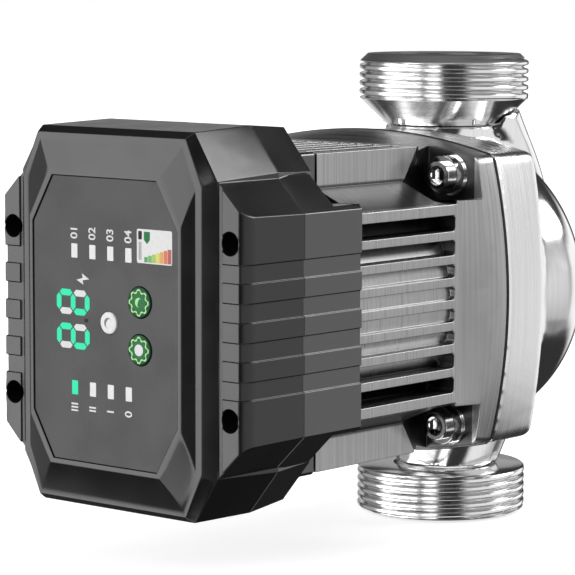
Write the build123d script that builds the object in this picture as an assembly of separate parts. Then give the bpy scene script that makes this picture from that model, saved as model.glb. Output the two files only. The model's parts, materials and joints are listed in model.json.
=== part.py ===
from build123d import *
import math
import os

# A wet-rotor heating circulator: pressed steel pump housing with two threaded ports, a finned
# aluminium motor housing and a black electronics box with a display panel on the front.
#
# Frame: the origin is the centre of the lower port's sealing face, +Z runs up the pipe axis to the
# upper port, and the control panel faces -Y. Shapes are built around the motor shaft, which lies
# along Y through (0, 0, 0), and every part is lifted by SHAFT_HEIGHT when it is written.

# Driving dimensions, millimetres
PORT_TO_PORT = 130.0
SHAFT_HEIGHT = 65.9
BOTTOM = -SHAFT_HEIGHT
TOP = PORT_TO_PORT - SHAFT_HEIGHT

# Pipe thread G 1 1/2 (ISO 228-1)
THREAD_MAJOR_R = 47.803 / 2
THREAD_PITCH = 25.4 / 11
THREAD_DEPTH = 1.479
THREAD_CRESTS = 5
PORT_BORE_R = 13.5
PORT_FACE_R = 21.7
COLLAR_LENGTH = 13.0
COLLAR_FOOT_TOP = TOP - COLLAR_LENGTH
COLLAR_FOOT_BOTTOM = BOTTOM + COLLAR_LENGTH
THREAD_CREST = 0.5
THREAD_LEAD = 2.1
OUTLET_NECK_R = 14.5
INLET_NECK_R = 16.4
CONE_HEIGHT = 6.7
NECK_TOP = COLLAR_FOOT_TOP - CONE_HEIGHT
LUG_ANGLES = (-162, -95, -21)
LUG_SIZE = (3.0, 2.6, 3.8)

# Stations along the motor shaft
FLANGE_JOINT = -33.5
FLANGE_FRONT = -47.0
BAND_BACK = -14.0
MOTOR_FRONT = -89.0
BOX_BACK = -90.0
BODY_BACK = -98.0
BOX_SPLIT = -110.5
BEZEL_BACK = -132.9
RIM_FRONT = -135.5
PANEL_FRONT = -138.0
FILM_FRONT = -137.6
PANEL_INNER = -135.7

# Pump housing band, barrel-sided square
BAND_CORNER_X = 42.5
BAND_CORNER_Z = 38.5
BAND_MID_X = 47.8
BAND_MID_Z = 44.0
BAND_CORNER_R = 3.0
BAND_BACK_FLATTEN = 1.3
BAND_BACK_R = 2.5
DOME_R = 46.3
DOME_HALF_HEIGHT = 42.9
DOME_EDGE_R = 19.0
DOME_BACK = 16.0
DOME_CROWN = 18.0
CHAMBER_R = 40.0
CHAMBER_BACK = 5.0
PASSAGE_R = 9.2
NECK_RING_R = 15.0
NECK_RING_BACK = CHAMBER_BACK + 4.0
GASKET_THICKNESS = 1.0
GASKET_R = CHAMBER_R + 2.0

# Motor housing
MOTOR_HALF = 41.0
FIN_GROUP_HALF = 26.3
PLATE_HALF = 28.0
NOTCH_FLOOR = 32.0
FIN_CENTRES = (2.93, 8.8, 14.95, 21.4)
FIN_GAPS = (3.45, 3.5, 4.0, 4.2)
FIN_SLOT_END = -47.8
CAN_WALL_R = 39.5
STATOR_R = 34.4
FLANGE_BORE_R = 40.5
FLANGE_LIP = 3.0
SCREW_OFFSET = 33.5
POCKET_R = 8.0
POCKET_FLOOR = -39.5
SCREW_R = 2.4
SCREW_TIP = -22.0
COLLAR_R = 5.1
COLLAR_FRONT = -44.2
HEAD_R = 3.7
HEAD_FRONT = -46.4
HEX_KEY_R = 2.2
WASHER_R = 5.6
WASHER_FRONT = POCKET_FLOOR - 0.9
STATOR_POCKET_FRONT = -85.5

# Rotor
SHAFT_R = 4.0
SHAFT_SPAN = (-82.8, -11.5)
BEARING_GAP = 0.03
BEARING_R = 8.0
HUB_R = 11.0
FRONT_BEARING_SPAN = (-40.0, -30.0)
REAR_BEARING_SPAN = (-83.6, -77.0)
ROTOR_R = 16.6
ROTOR_SLEEVE = 0.3
CORE_SPAN = (-74.5, -46.5)
MAGNET_REACH = (7.0, 14.0)
MAGNET_HALF = 1.4
POLES = 4
THRUST_SPAN = (-43.4, -40.3)
RETAINER_FRONT = -45.4
CAN_R = 17.6
CAN_WALL = 0.4
CAN_FRONT = -84.8
CAN_FLANGE = 1.45
IMPELLER_R = 30.0
IMPELLER_NECK_R = 12.5
BLADES = 6
DISC_FRONT = -20.0
DISC_THICKNESS = 2.0
BLADE_LENGTH = 13.0
SHROUD_FRONT = -6.0
STATOR_TEETH = 9
STATOR_SPAN = (-76.0, -50.0)
STATOR_BACK_R = 28.0
INSULATOR_R = (33.6, 28.2)
INSULATOR_THICKNESS = 4.0

# Electronics box
BODY_HALF_W = 33.6
WING_FACE = -132.85
WING_FACE_X = 40.3
SADDLE_X = 42.3
SADDLE_BACK = -88.1
SADDLE_HALF_H = 27.5
COLLAR_HALF_W = 28.2
COLLAR_HALF_H = 41.5
WING_REAR_CUT = 28.9
BASE_FLOOR_HALF_W = 26.2
COVER_SCREW_X = 37.4
COVER_SCREW_Z = 21.6
BAR_RAISE = 0.5
BAR_HALF = 2.45
BAR_PITCH = 9.55
END_BAR_START = 16.5
BAR_INNER_X = 34.9
INLET_X = -8.0
INLET_Y = -104.5
INLET_R = 4.6
INLET_CUP_R = 3.9
INLET_CUP_FLOOR = 40.0
INLET_TOP = 48.2
PINS_R = 2.0
BASE_SCREW_OFFSET = 20.0
BASE_SCREW_R = 1.7
BASE_POST_X = 24.0
BASE_POST_Z = 31.0
BASE_POST_FRONT = -104.0
BASE_FLOOR = -92.5
SLOT_HALF_W = 8.5
SLOT_Z = (-33.0, -28.5)
COVER_BORE_R = 2.9
COVER_BORE_FLOOR = -118.0
COVER_SCREW_R = 1.48
COVER_SCREW_TIP = -102.0
CAVITY_FRONT = -133.2
SEAL_THICKNESS = 1.0

# Panel: buttons, bars and digits
GEAR_BUTTON_R = 3.9
GEAR_BUTTON_X = 12.2
GEAR_BUTTON_Z = 5.9
CENTRE_BUTTON_R = 2.8
CENTRE_BUTTON_X = 1.7
LAMP_XS = (-10.4, -4.1, 2.1, 8.3)
LAMP_W = 2.1
LAMP_H = 3.55
LAMP_Z = 17.3
DISPLAY_X = (-17.6, -4.4)
DISPLAY_HALF_H = 8.4
DISPLAY_GAP = 0.1
FILM_BACK = -137.2
CAP_FRONT = -138.1
CAP_GAP = 0.15
CAP_COLLAR = (-135.6, -134.6)
STEM_R = 1.5
STEM_BACK = -133.4

# Circuit boards
BOARD_THICKNESS = 1.6
DISPLAY_BOARD_FRONT = -129.6
DISPLAY_BOARD_BACK = DISPLAY_BOARD_FRONT + BOARD_THICKNESS
DISPLAY_BOARD_HALF = (25.0, 38.0)
POWER_BOARD_FRONT = -111.6
POWER_BOARD_BACK = POWER_BOARD_FRONT + BOARD_THICKNESS
SPACER_X = 22.0
SPACER_Z = 34.0
POWER_SCREW_X = 12.0
POWER_SCREW_Z = 39.0
SWITCH_HALF = 3.0
SWITCH_FRONT = -132.5
LAMP_CHIP_FRONT = -130.9

# Half the size of a cutter that reaches past everything
BEYOND = 60.0


# ---------------------------------------------------------------- shape helpers

def box(x0, x1, y0, y1, z0, z1):
    """A block between two corners."""
    block = Box(abs(x1 - x0), abs(y1 - y0), abs(z1 - z0))
    return Pos((x0 + x1) / 2, (y0 + y1) / 2, (z0 + z1) / 2) * block


def rod(radius, y0, y1, x=0.0, z=0.0):
    """A cylinder along Y."""
    return Pos(x, (y0 + y1) / 2, z) * Rot(90, 0, 0) * Cylinder(radius, abs(y1 - y0))


def tube(outer, inner, y0, y1, x=0.0, z=0.0):
    """A hollow cylinder along Y."""
    return rod(outer, y0, y1, x, z) - rod(inner, y0 - 1, y1 + 1, x, z)


def post(radius, z0, z1, x=0.0, y=0.0):
    """A cylinder along Z."""
    return Pos(x, y, (z0 + z1) / 2) * Cylinder(radius, abs(z1 - z0))


def spun(points):
    """A solid turned around the shaft from (radius, y) points."""
    face = Plane.XY * make_face(Polyline(*points, close=True))
    return revolve(face, Axis.Y, 360)


def turned(points):
    """A solid turned around the pipe axis from (radius, z) points."""
    face = Plane.XZ * make_face(Polyline(*points, close=True))
    return revolve(face, Axis.Z, 360)


def cross_section(y):
    """The plane across the shaft at y, with local x along +X and local y along +Z."""
    return Plane(origin=(0, y, 0), x_dir=(1, 0, 0), z_dir=(0, -1, 0))


def slab(points, y0, y1):
    """A prism along Y with an X-Z outline."""
    face = cross_section(max(y0, y1)) * make_face(Polyline(*points, close=True))
    return extrude(face, abs(y1 - y0))


def octagon(half_w, half_h, top_half, side_half):
    """A rectangle's outline with its four corners cut off."""
    quarter = [(top_half, half_h), (half_w, side_half)]
    right = quarter + [(x, -z) for x, z in reversed(quarter)]
    return right + [(-x, -z) for x, z in right]


def octagon_loft(y0, outline0, y1, outline1):
    """A tapered prism between two octagons."""
    first = cross_section(y0) * make_face(Polyline(*outline0, close=True))
    second = cross_section(y1) * make_face(Polyline(*outline1, close=True))
    return loft([first, second], ruled=True)


def barrel_face(y, inset=0.0, flatten=0.0, narrow=0.0):
    """The housings' square outline with bulging sides, optionally smaller, flatter or narrower."""
    corner_x, corner_z = BAND_CORNER_X - inset - narrow, BAND_CORNER_Z - inset
    mid_x, mid_z = BAND_MID_X - inset - flatten - narrow, BAND_MID_Z - inset - flatten * 0.6
    top = ThreePointArc((-corner_x, corner_z), (0, mid_z), (corner_x, corner_z))
    right = ThreePointArc((corner_x, corner_z), (mid_x, 0), (corner_x, -corner_z))
    bottom = ThreePointArc((corner_x, -corner_z), (0, -mid_z), (-corner_x, -corner_z))
    left = ThreePointArc((-corner_x, -corner_z), (-mid_x, 0), (-corner_x, corner_z))
    face = make_face([top, right, bottom, left])
    face = fillet(face.vertices(), BAND_CORNER_R)
    return cross_section(y) * face


def corners(offset_x, offset_z):
    """The four places around a rectangle."""
    return [(sx * offset_x, sz * offset_z) for sx in (-1, 1) for sz in (-1, 1)]


def around(solid, count):
    """Copies of a solid spaced evenly about the shaft."""
    return [Rot(0, 360.0 * step / count, 0) * solid for step in range(count)]


# ---------------------------------------------------------------- threaded ports

def thread_outline(face_z, toward):
    """The turned outline of a threaded end, from its sealing face inwards along the pipe."""
    root_r = THREAD_MAJOR_R - THREAD_DEPTH
    groove_half = (THREAD_PITCH - THREAD_CREST) / 2
    points = [(PORT_BORE_R, face_z), (PORT_FACE_R, face_z), (THREAD_MAJOR_R, face_z - toward * THREAD_LEAD)]
    for step in range(THREAD_CRESTS - 1):
        crest_end = THREAD_LEAD + step * THREAD_PITCH + THREAD_CREST
        root = crest_end + groove_half
        next_crest = root + groove_half
        points += [(THREAD_MAJOR_R, face_z - toward * crest_end), (root_r, face_z - toward * root)]
        points.append((THREAD_MAJOR_R, face_z - toward * next_crest))
    return points


def inlet_threaded_end():
    """The upper port: a threaded collar on a cone, with weld lugs round the cone's small end."""
    edge = 0.6
    points = thread_outline(TOP, 1)
    points += [(THREAD_MAJOR_R, COLLAR_FOOT_TOP + edge), (THREAD_MAJOR_R - edge, COLLAR_FOOT_TOP)]
    points += [(INLET_NECK_R + edge, NECK_TOP), (PORT_BORE_R, NECK_TOP)]
    collar = turned(points)
    for angle in LUG_ANGLES:
        lug = Pos(INLET_NECK_R + 0.8, 0, NECK_TOP + LUG_SIZE[2] / 2) * Box(*LUG_SIZE)
        collar += Rot(0, 0, angle) * lug
    return collar - post(PORT_BORE_R, NECK_TOP - 1, TOP + 1)


def outlet_threaded_end():
    """The lower port: a threaded collar with a flat shoulder."""
    foot = COLLAR_FOOT_BOTTOM
    edge = 0.8
    points = thread_outline(BOTTOM, -1)
    points += [(THREAD_MAJOR_R, foot - edge), (THREAD_MAJOR_R - edge, foot), (PORT_BORE_R, foot)]
    return turned(points)


# ---------------------------------------------------------------- pump housing

def channel_section(z, y, half_w, half_d):
    """An elliptical section across the pipe axis."""
    return Pos(0, y, z) * make_face(Ellipse(half_w, half_d))


def inlet_channel():
    """The bulge that leads the upper port round to the middle of the dome's back."""
    stations = [
        (COLLAR_FOOT_TOP, 5.0, 19.0, 14.5),
        (43.0, 8.5, 20.5, 13.5),
        (31.0, 15.0, 21.5, 13.0),
        (20.0, 18.6, 21.5, 13.0),
        (8.0, 19.4, 20.5, 12.6),
        (-4.0, 17.4, 18.0, 11.6),
        (-14.0, 12.5, 13.5, 8.5),
    ]
    return loft([channel_section(*station) for station in stations])


def dome():
    """The round back of the housing, a little lower than it is wide."""
    back_edge = DOME_R - DOME_EDGE_R
    side_end = DOME_BACK - DOME_EDGE_R
    half_turn = DOME_EDGE_R * math.sqrt(0.5)
    profile = Line((0, FLANGE_JOINT + 1), (DOME_R, FLANGE_JOINT + 1))
    profile += Line((DOME_R, FLANGE_JOINT + 1), (DOME_R, side_end))
    middle = (back_edge + half_turn, side_end + half_turn)
    profile += ThreePointArc((DOME_R, side_end), middle, (back_edge, DOME_BACK))
    profile += ThreePointArc((back_edge, DOME_BACK), (back_edge / 2, DOME_CROWN - 0.5), (0, DOME_CROWN))
    profile += Line((0, DOME_CROWN), (0, FLANGE_JOINT + 1))
    round_dome = revolve(make_face(profile), Axis.Y, 360)
    return scale(round_dome, by=(1, 1, DOME_HALF_HEIGHT / DOME_R))


def outlet_neck(shrink=0.0):
    """The flared pipe that leans back from the lower port into the volute."""
    stations = [
        (COLLAR_FOOT_BOTTOM - shrink, 2.5, OUTLET_NECK_R, OUTLET_NECK_R),
        (-44.0, 6.0, OUTLET_NECK_R + 2.0, OUTLET_NECK_R + 0.7),
        (-34.0, -1.0, OUTLET_NECK_R + 2.5, OUTLET_NECK_R - 2.0),
    ]
    faces = [channel_section(z, y, half_w - shrink, half_d - shrink) for z, y, half_w, half_d in stations]
    return loft(faces, ruled=True)


def inlet_passage():
    """The water's way from the upper port, down the channel and into the impeller's eye."""
    bend = [(0, 2.0, 47.0), (0, 18.9, 25.0), (0, 19.3, 3.0)]
    passage = post(PORT_BORE_R, 46.0, TOP + 1)
    for start, end in zip(bend, bend[1:]):
        span = Vector(*end) - Vector(*start)
        middle = (Vector(*end) + Vector(*start)) * 0.5
        passage += Plane(origin=middle, z_dir=span) * Cylinder(PASSAGE_R, span.length)
    for point in bend:
        passage += Pos(*point) * Sphere(PASSAGE_R)
    return passage + rod(PASSAGE_R, CHAMBER_BACK - 1, 19.0)


def pump_housing():
    """The pressed housing: a square band, the dome, the inlet channel and the outlet neck."""
    flattened = barrel_face(BAND_BACK, flatten=BAND_BACK_FLATTEN)
    band = loft([barrel_face(FLANGE_JOINT), flattened], ruled=True)
    back_edges = band.faces().sort_by(Axis.Y)[-1].edges()
    band = fillet(back_edges, BAND_BACK_R)
    shell = band + dome() + inlet_channel() + outlet_neck()
    shell += post(INLET_NECK_R, CHAMBER_R - 10, NECK_TOP)
    shell -= inlet_threaded_end()
    shell -= post(PORT_BORE_R, NECK_TOP, TOP)
    shell -= rod(CHAMBER_R, FLANGE_JOINT - 1, CHAMBER_BACK)
    shell -= inlet_passage()
    shell -= outlet_neck(OUTLET_NECK_R - PASSAGE_R)
    shell -= rod(NECK_RING_R, CHAMBER_BACK - 1, NECK_RING_BACK)
    for x, z in corners(SCREW_OFFSET, SCREW_OFFSET):
        shell -= rod(SCREW_R + 0.05, FLANGE_JOINT - 1, SCREW_TIP + 2, x, z)
    return shell


def neck_ring():
    """The wear ring that the impeller's neck turns in."""
    return tube(NECK_RING_R, IMPELLER_NECK_R + 0.5, CHAMBER_BACK - 1.5, NECK_RING_BACK)


def housing_gasket():
    return tube(GASKET_R, CHAMBER_R + 0.05, FLANGE_JOINT - GASKET_THICKNESS, FLANGE_JOINT)


# ---------------------------------------------------------------- rotor group

def bearing_plate():
    """The plate that closes the chamber and holds the front bearing, with four small vents."""
    thickness = 1.5
    disc = tube(CHAMBER_R - 0.2, BEARING_R + 0.05, FLANGE_JOINT - thickness, FLANGE_JOINT)
    plate = disc + tube(HUB_R, BEARING_R + 0.05, *FRONT_BEARING_SPAN)
    for vent in around(rod(1.5, FLANGE_JOINT - 2.5, FLANGE_JOINT + 0.5, CHAMBER_R * 0.6, 0), 4):
        plate -= vent
    return plate


def rotor_can():
    """The thin closed tube that keeps the water in the rotor space."""
    flange_back = FLANGE_JOINT - 1.55
    flange = tube(FLANGE_BORE_R - 0.1, CAN_R - CAN_WALL, flange_back - CAN_FLANGE, flange_back)
    wall = tube(CAN_R, CAN_R - CAN_WALL, CAN_FRONT + 2 * CAN_WALL, flange_back - 0.45)
    end = rod(CAN_R, CAN_FRONT, CAN_FRONT + 2 * CAN_WALL)
    return flange + wall + end


def front_bearing():
    return tube(BEARING_R, SHAFT_R + BEARING_GAP, *FRONT_BEARING_SPAN)


def rear_bearing():
    return tube(BEARING_R, SHAFT_R + BEARING_GAP, *REAR_BEARING_SPAN)


def rear_bearing_carrier():
    start, end = REAR_BEARING_SPAN
    return tube(CAN_R - CAN_WALL - 0.05, BEARING_R + 0.05, start, end - 1.0)


def thrust_bearing():
    return tube(BEARING_R - 0.5, SHAFT_R, *THRUST_SPAN)


def thrust_retainer():
    return tube(BEARING_R + 1.5, SHAFT_R, RETAINER_FRONT, THRUST_SPAN[0])


def shaft():
    bar = rod(SHAFT_R, *SHAFT_SPAN)
    return chamfer(bar.edges(), 0.5)


def magnet_block(clearance):
    """One magnet, or with no clearance the slot that it sits in."""
    inner, outer = MAGNET_REACH
    half = MAGNET_HALF - clearance
    return box(inner + clearance, outer - clearance, *CORE_SPAN, -half, half)


def rotor_core():
    core = tube(ROTOR_R - ROTOR_SLEEVE - 0.05, SHAFT_R, *CORE_SPAN)
    for slot in around(magnet_block(0.0), POLES):
        core -= slot
    return core


def rotor_magnets():
    return Compound(children=around(magnet_block(0.05), POLES))


def rotor_sleeve():
    """The thin shell that seals the rotor, with a disc at each end."""
    inner = ROTOR_R - ROTOR_SLEEVE
    front, back = CORE_SPAN[0] - 1.1, CORE_SPAN[1] + 1.1
    end_disc = 1.0
    wall = tube(ROTOR_R, inner, front, back)
    return wall + tube(inner, SHAFT_R, front, front + end_disc) + tube(inner, SHAFT_R, back - end_disc, back)


def blade_outline():
    """One backward-swept blade as a curved strip in the X-Z plane."""
    inner = ThreePointArc((9.0, 0.0), (19.0, 8.5), (24.0, 17.5))
    outer = ThreePointArc((25.2, 15.8), (20.0, 6.6), (10.2, -1.6))
    return make_face([inner, Line((24.0, 17.5), (25.2, 15.8)), outer, Line((10.2, -1.6), (9.0, 0.0))])


def impeller():
    """The wheel's hub, back disc and swept blades."""
    hub_r, nose = 7.5, -12.5
    disc = tube(IMPELLER_R, SHAFT_R, DISC_FRONT, DISC_FRONT + DISC_THICKNESS)
    hub = spun([(SHAFT_R, DISC_FRONT - 4), (hub_r, DISC_FRONT - 4), (hub_r, nose - 3.5),
                (hub_r - 2.0, nose), (SHAFT_R, nose)])
    blade = extrude(cross_section(SHROUD_FRONT) * blade_outline(), BLADE_LENGTH)
    wheel = disc + hub
    for copy in around(blade, BLADES):
        wheel += copy
    return wheel


def impeller_shroud():
    """The coned front disc of the wheel, with the neck round its eye."""
    front = SHROUD_FRONT + 0.05
    neck_end = CHAMBER_BACK + 2.5
    eye_r = IMPELLER_NECK_R - 1.5
    return spun([(eye_r, front), (IMPELLER_R, front), (IMPELLER_R, front + 1.35),
                 (IMPELLER_NECK_R, front + 3.45), (IMPELLER_NECK_R, neck_end), (eye_r, neck_end)])


# ---------------------------------------------------------------- stator

def stator_core():
    """The laminated ring with its teeth."""
    front, back = STATOR_SPAN
    tooth_half, shoe_half = 2.9, 5.0
    shoe_r, tooth_r = 18.3, 20.0
    core = tube(STATOR_R, STATOR_BACK_R, front, back)
    tooth = box(tooth_r, STATOR_BACK_R + 0.5, front, back, -tooth_half, tooth_half)
    shoe = box(shoe_r, tooth_r + 0.2, front, back, -shoe_half, shoe_half)
    for copy in around(tooth + shoe, STATOR_TEETH):
        core += copy
    return core - rod(CAN_R + 0.3, front - 4, back + 4)


def stator_coils():
    """A loop of winding round each tooth."""
    front, back = STATOR_SPAN
    inner_r, outer_r, wire, half = 20.8, 26.6, 3.1, 6.0
    gap = 0.4
    loop = box(inner_r, outer_r, front - gap - wire, back + gap + wire, -half, half)
    loop -= box(inner_r - 1, outer_r + 1, front - gap, back + gap, -3.3, 3.3)
    loop = fillet(loop.edges().filter_by(Axis.X), 1.0)
    return Compound(children=around(loop, STATOR_TEETH))


def stator_insulator_front():
    return tube(*INSULATOR_R, STATOR_SPAN[0] - INSULATOR_THICKNESS, STATOR_SPAN[0])


def stator_insulator_back():
    return tube(*INSULATOR_R, STATOR_SPAN[1], STATOR_SPAN[1] + INSULATOR_THICKNESS)


def stator_connector():
    """The block that carries the winding ends out through the motor housing's end wall."""
    low, high = SLOT_Z[0] + 0.4, SLOT_Z[1] - 0.5
    inner_end = STATOR_SPAN[0] - INSULATOR_THICKNESS
    return box(-SLOT_HALF_W + 0.5, SLOT_HALF_W - 0.5, BODY_BACK - 1.0, inner_end, low, high)


# ---------------------------------------------------------------- motor housing

def motor_outline():
    """The cross-shaped outline: a group of fins on each side, with a notch at each corner."""
    plate, side, floor, half = PLATE_HALF, FIN_GROUP_HALF, NOTCH_FLOOR, MOTOR_HALF
    quarter = [(plate, half), (plate, floor), (half, side)]
    right = quarter + [(x, -z) for x, z in reversed(quarter)]
    return right + [(-x, -z) for x, z in right]


def fin_slots():
    """All cooling slots, down to the round wall that holds the stator."""
    slots = []
    reach = (CAN_WALL_R * 0.6, MOTOR_HALF + 5)
    for centre, gap in zip(FIN_CENTRES, FIN_GAPS):
        for place in (-centre, centre):
            block = box(*reach, MOTOR_FRONT - 1, FIN_SLOT_END, place - gap / 2, place + gap / 2)
            back_edges = block.edges().filter_by(Axis.X).group_by(Axis.Y)[-1]
            slots += around(fillet(back_edges, 1.2), 4)
    cutter = slots[0].fuse(*slots[1:])
    return cutter - rod(CAN_WALL_R, MOTOR_FRONT - 2, FLANGE_FRONT + 2)


def motor_flange():
    """The barrel-sided flange, drawn in at its front to run level into the fins."""
    front = barrel_face(FLANGE_FRONT, inset=0.8, flatten=5.4, narrow=0.7)
    shoulder = barrel_face(FLANGE_JOINT - FLANGE_LIP, inset=0.1, flatten=0.5)
    lip = loft([shoulder, barrel_face(FLANGE_JOINT)], ruled=True)
    return loft([front, shoulder], ruled=True) + lip


def slanted_stop():
    """What a screw pocket leaves of the plate beside it: the plate's end is cut on a slant."""
    start, end, foot, top = -53.5, -46.3, NOTCH_FLOOR, MOTOR_HALF + 2
    outline = Polyline((-BEYOND, foot), (start, foot), (end, top), (-BEYOND, top), close=True)
    return extrude(Plane.YZ * make_face(outline), BEYOND)


def screw_pocket(sx, sz):
    """The recess round one flange screw, open to the corner."""
    span = (FLANGE_FRONT - 7, POCKET_FLOOR)
    inner = SCREW_OFFSET - POCKET_R
    hollow = rod(POCKET_R, *span, SCREW_OFFSET, SCREW_OFFSET)
    hollow += box(inner, BEYOND, *span, SCREW_OFFSET, BEYOND)
    hollow += box(SCREW_OFFSET, BEYOND, *span, inner + 1.8, BEYOND)
    hollow -= slanted_stop()
    if sx < 0:
        hollow = mirror(hollow, Plane.YZ)
    if sz < 0:
        hollow = mirror(hollow, Plane.XY)
    return hollow


def motor_housing():
    """The finned casting, bored for the stator and for the plate that closes the pump chamber."""
    body = slab(motor_outline(), MOTOR_FRONT, FLANGE_FRONT + 3) + motor_flange()
    body -= fin_slots()
    body -= rod(STATOR_R + 0.05, STATOR_POCKET_FRONT, FLANGE_JOINT - 2.0)
    body -= rod(FLANGE_BORE_R, FLANGE_JOINT - FLANGE_LIP, FLANGE_JOINT + 1)
    body -= tube(GASKET_R + 0.05, FLANGE_BORE_R - 1, FLANGE_JOINT - GASKET_THICKNESS, FLANGE_JOINT + 1)
    body -= box(-SLOT_HALF_W, SLOT_HALF_W, MOTOR_FRONT - 1, STATOR_POCKET_FRONT + 0.5, *SLOT_Z)
    for x, z in corners(SCREW_OFFSET, SCREW_OFFSET):
        body -= screw_pocket(x, z)
        body -= rod(SCREW_R + 0.2, POCKET_FLOOR - 1, FLANGE_JOINT + 1, x, z)
    for x, z in corners(BASE_SCREW_OFFSET, BASE_SCREW_OFFSET):
        body -= rod(BASE_SCREW_R + 0.05, MOTOR_FRONT - 1, STATOR_POCKET_FRONT - 0.1, x, z)
    return body


def flange_screw(x, z):
    """A collared head with a hexagon key hole, on a plain shank."""
    shank = rod(SCREW_R, WASHER_FRONT, SCREW_TIP, x, z)
    collar = rod(COLLAR_R, COLLAR_FRONT, WASHER_FRONT, x, z)
    collar = chamfer(collar.edges().group_by(Axis.Y)[0], 0.5)
    head = rod(HEAD_R, HEAD_FRONT, COLLAR_FRONT, x, z)
    head = chamfer(head.edges().group_by(Axis.Y)[0], 0.4)
    key = Pos(x, 0, z) * extrude(cross_section(COLLAR_FRONT) * RegularPolygon(HEX_KEY_R, 6), 3.0)
    return shank + collar + head - key


def flange_screws():
    return Compound(children=[flange_screw(x, z) for x, z in corners(SCREW_OFFSET, SCREW_OFFSET)])


def flange_washers():
    washer = (WASHER_R, SCREW_R + 0.1, WASHER_FRONT, POCKET_FLOOR)
    return Compound(children=[tube(*washer, x, z) for x, z in corners(SCREW_OFFSET, SCREW_OFFSET)])


# ---------------------------------------------------------------- electronics box shells

RIM_OUTER = octagon(30.6, 46.5, 25.4, 35.1)
RIM_INNER = octagon(28.8, 44.7, 24.4, 34.2)
BEZEL = octagon(BODY_HALF_W, 48.1, 26.2, 36.4)
CREASE = octagon(BODY_HALF_W, 48.9, 24.4, 37.5)
BACK = octagon(31.6, 47.8, 22.6, 36.9)
BACK_EDGE = octagon(30.4, 45.4, 21.6, 35.8)
PANEL = octagon(26.1, 37.2, 18.9, 25.0)
PANEL_CAVITY = octagon(25.4, 36.4, 18.2, 24.4)
FILM_RECESS = octagon(24.9, 36.0, 17.9, 24.1)
FILM = octagon(24.8, 35.9, 17.8, 24.0)
CAVITY = octagon(31.0, 45.4, 23.0, 35.0)
BASE_CAVITY = octagon(29.6, 44.6, 20.6, 34.6)
GASKET_GROOVE = octagon(31.8, 46.2, 23.4, 35.8)
GASKET_OUTER = octagon(31.7, 46.1, 23.3, 35.7)
GASKET_INNER = octagon(31.1, 45.5, 23.1, 35.1)
POWER_BOARD = octagon(28.0, 42.0, 20.0, 33.0)


def wing_profile(inset):
    """Plan outline of the right-hand wing, with its rounded front corner."""
    face_y = WING_FACE + inset
    face_end = (WING_FACE_X - inset / 2, face_y)
    side_start = (SADDLE_X - 0.3 - inset, face_y + 4.8)
    split = (SADDLE_X - inset, BOX_SPLIT)
    outline = Line((20.0, face_y), face_end)
    outline += ThreePointArc(face_end, (SADDLE_X - 0.8 - inset, face_y + 1.8), side_start)
    outline += Polyline(side_start, split, (split[0], SADDLE_BACK), (20.0, SADDLE_BACK), (20.0, face_y))
    return make_face(outline)


def wing(inset):
    """The right-hand wing and saddle, cut to its slanted ends."""
    plan = Pos(0, 0, -45) * extrude(wing_profile(inset), 90.0)
    ends = [(10.0, 38.6), (33.2, 36.5), (SADDLE_X + 0.2, SADDLE_HALF_H), (SADDLE_X + 0.2, -SADDLE_HALF_H),
            (33.2, -36.5), (10.0, -38.6)]
    return plan & slab(ends, WING_FACE - 1, SADDLE_BACK + 1)


def raised_bands():
    """The five level bands where the wing stands proud of its grooves."""
    levels = [(step * BAR_PITCH - BAR_HALF, step * BAR_PITCH + BAR_HALF) for step in (-1, 0, 1)]
    levels += [(END_BAR_START, 34.5), (-34.5, -END_BAR_START)]
    blocks = [box(BAR_INNER_X, 50.0, WING_FACE - 1, SADDLE_BACK + 1, low, high) for low, high in levels]
    return blocks[0].fuse(*blocks[1:])


def both_wings():
    """Both wings with their raised bands, open at the back where the motor housing stands."""
    right = wing(BAR_RAISE) + (wing(0.0) & raised_bands())
    right -= box(0.0, MOTOR_HALF + 0.05, BOX_BACK, SADDLE_BACK + 1, -BEYOND, BEYOND)
    right -= box(0.0, BEYOND, BODY_BACK, SADDLE_BACK + 1, WING_REAR_CUT, BEYOND)
    right -= box(0.0, BEYOND, BODY_BACK, SADDLE_BACK + 1, -BEYOND, -WING_REAR_CUT)
    return right + mirror(right, Plane.YZ)


def box_envelope():
    """The whole outside of the electronics box, before it is split into cover and base."""
    shape = octagon_loft(RIM_FRONT, RIM_OUTER, BEZEL_BACK, BEZEL)
    shape += octagon_loft(BEZEL_BACK, BEZEL, BOX_SPLIT, CREASE)
    shape += octagon_loft(BOX_SPLIT, CREASE, BODY_BACK + 2.5, BACK)
    rounded = octagon_loft(BODY_BACK + 2.5, BACK, BODY_BACK, BACK_EDGE)
    collar = box(-COLLAR_HALF_W, COLLAR_HALF_W, BODY_BACK - 1, BOX_BACK, -COLLAR_HALF_H, COLLAR_HALF_H)
    collar = fillet(collar.edges().filter_by(Axis.Y), 1.2)
    return shape + rounded + collar


def buttons():
    """Centre and radius of each push button on the panel."""
    return [(GEAR_BUTTON_X, GEAR_BUTTON_Z, GEAR_BUTTON_R), (GEAR_BUTTON_X, -GEAR_BUTTON_Z, GEAR_BUTTON_R),
            (CENTRE_BUTTON_X, 0.0, CENTRE_BUTTON_R)]


def lamp_places():
    """Centre of each mode lamp, in the two rows."""
    return [(x, z) for x in LAMP_XS for z in (-LAMP_Z, LAMP_Z)]


def panel_windows(y0, y1, clearance):
    """Cutters for everything that shows through the panel: the display, the lamps and the buttons."""
    low, high = DISPLAY_X[0] - clearance, DISPLAY_X[1] + clearance
    half_w, half_h = LAMP_W / 2 + clearance, LAMP_H / 2 + clearance
    cutters = [box(low, high, y0, y1, -DISPLAY_HALF_H - clearance, DISPLAY_HALF_H + clearance)]
    cutters += [box(x - half_w, x + half_w, y0, y1, z - half_h, z + half_h) for x, z in lamp_places()]
    cutters += [rod(radius + CAP_GAP, y0, y1, x, z) for x, z, radius in buttons()]
    return cutters


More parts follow.
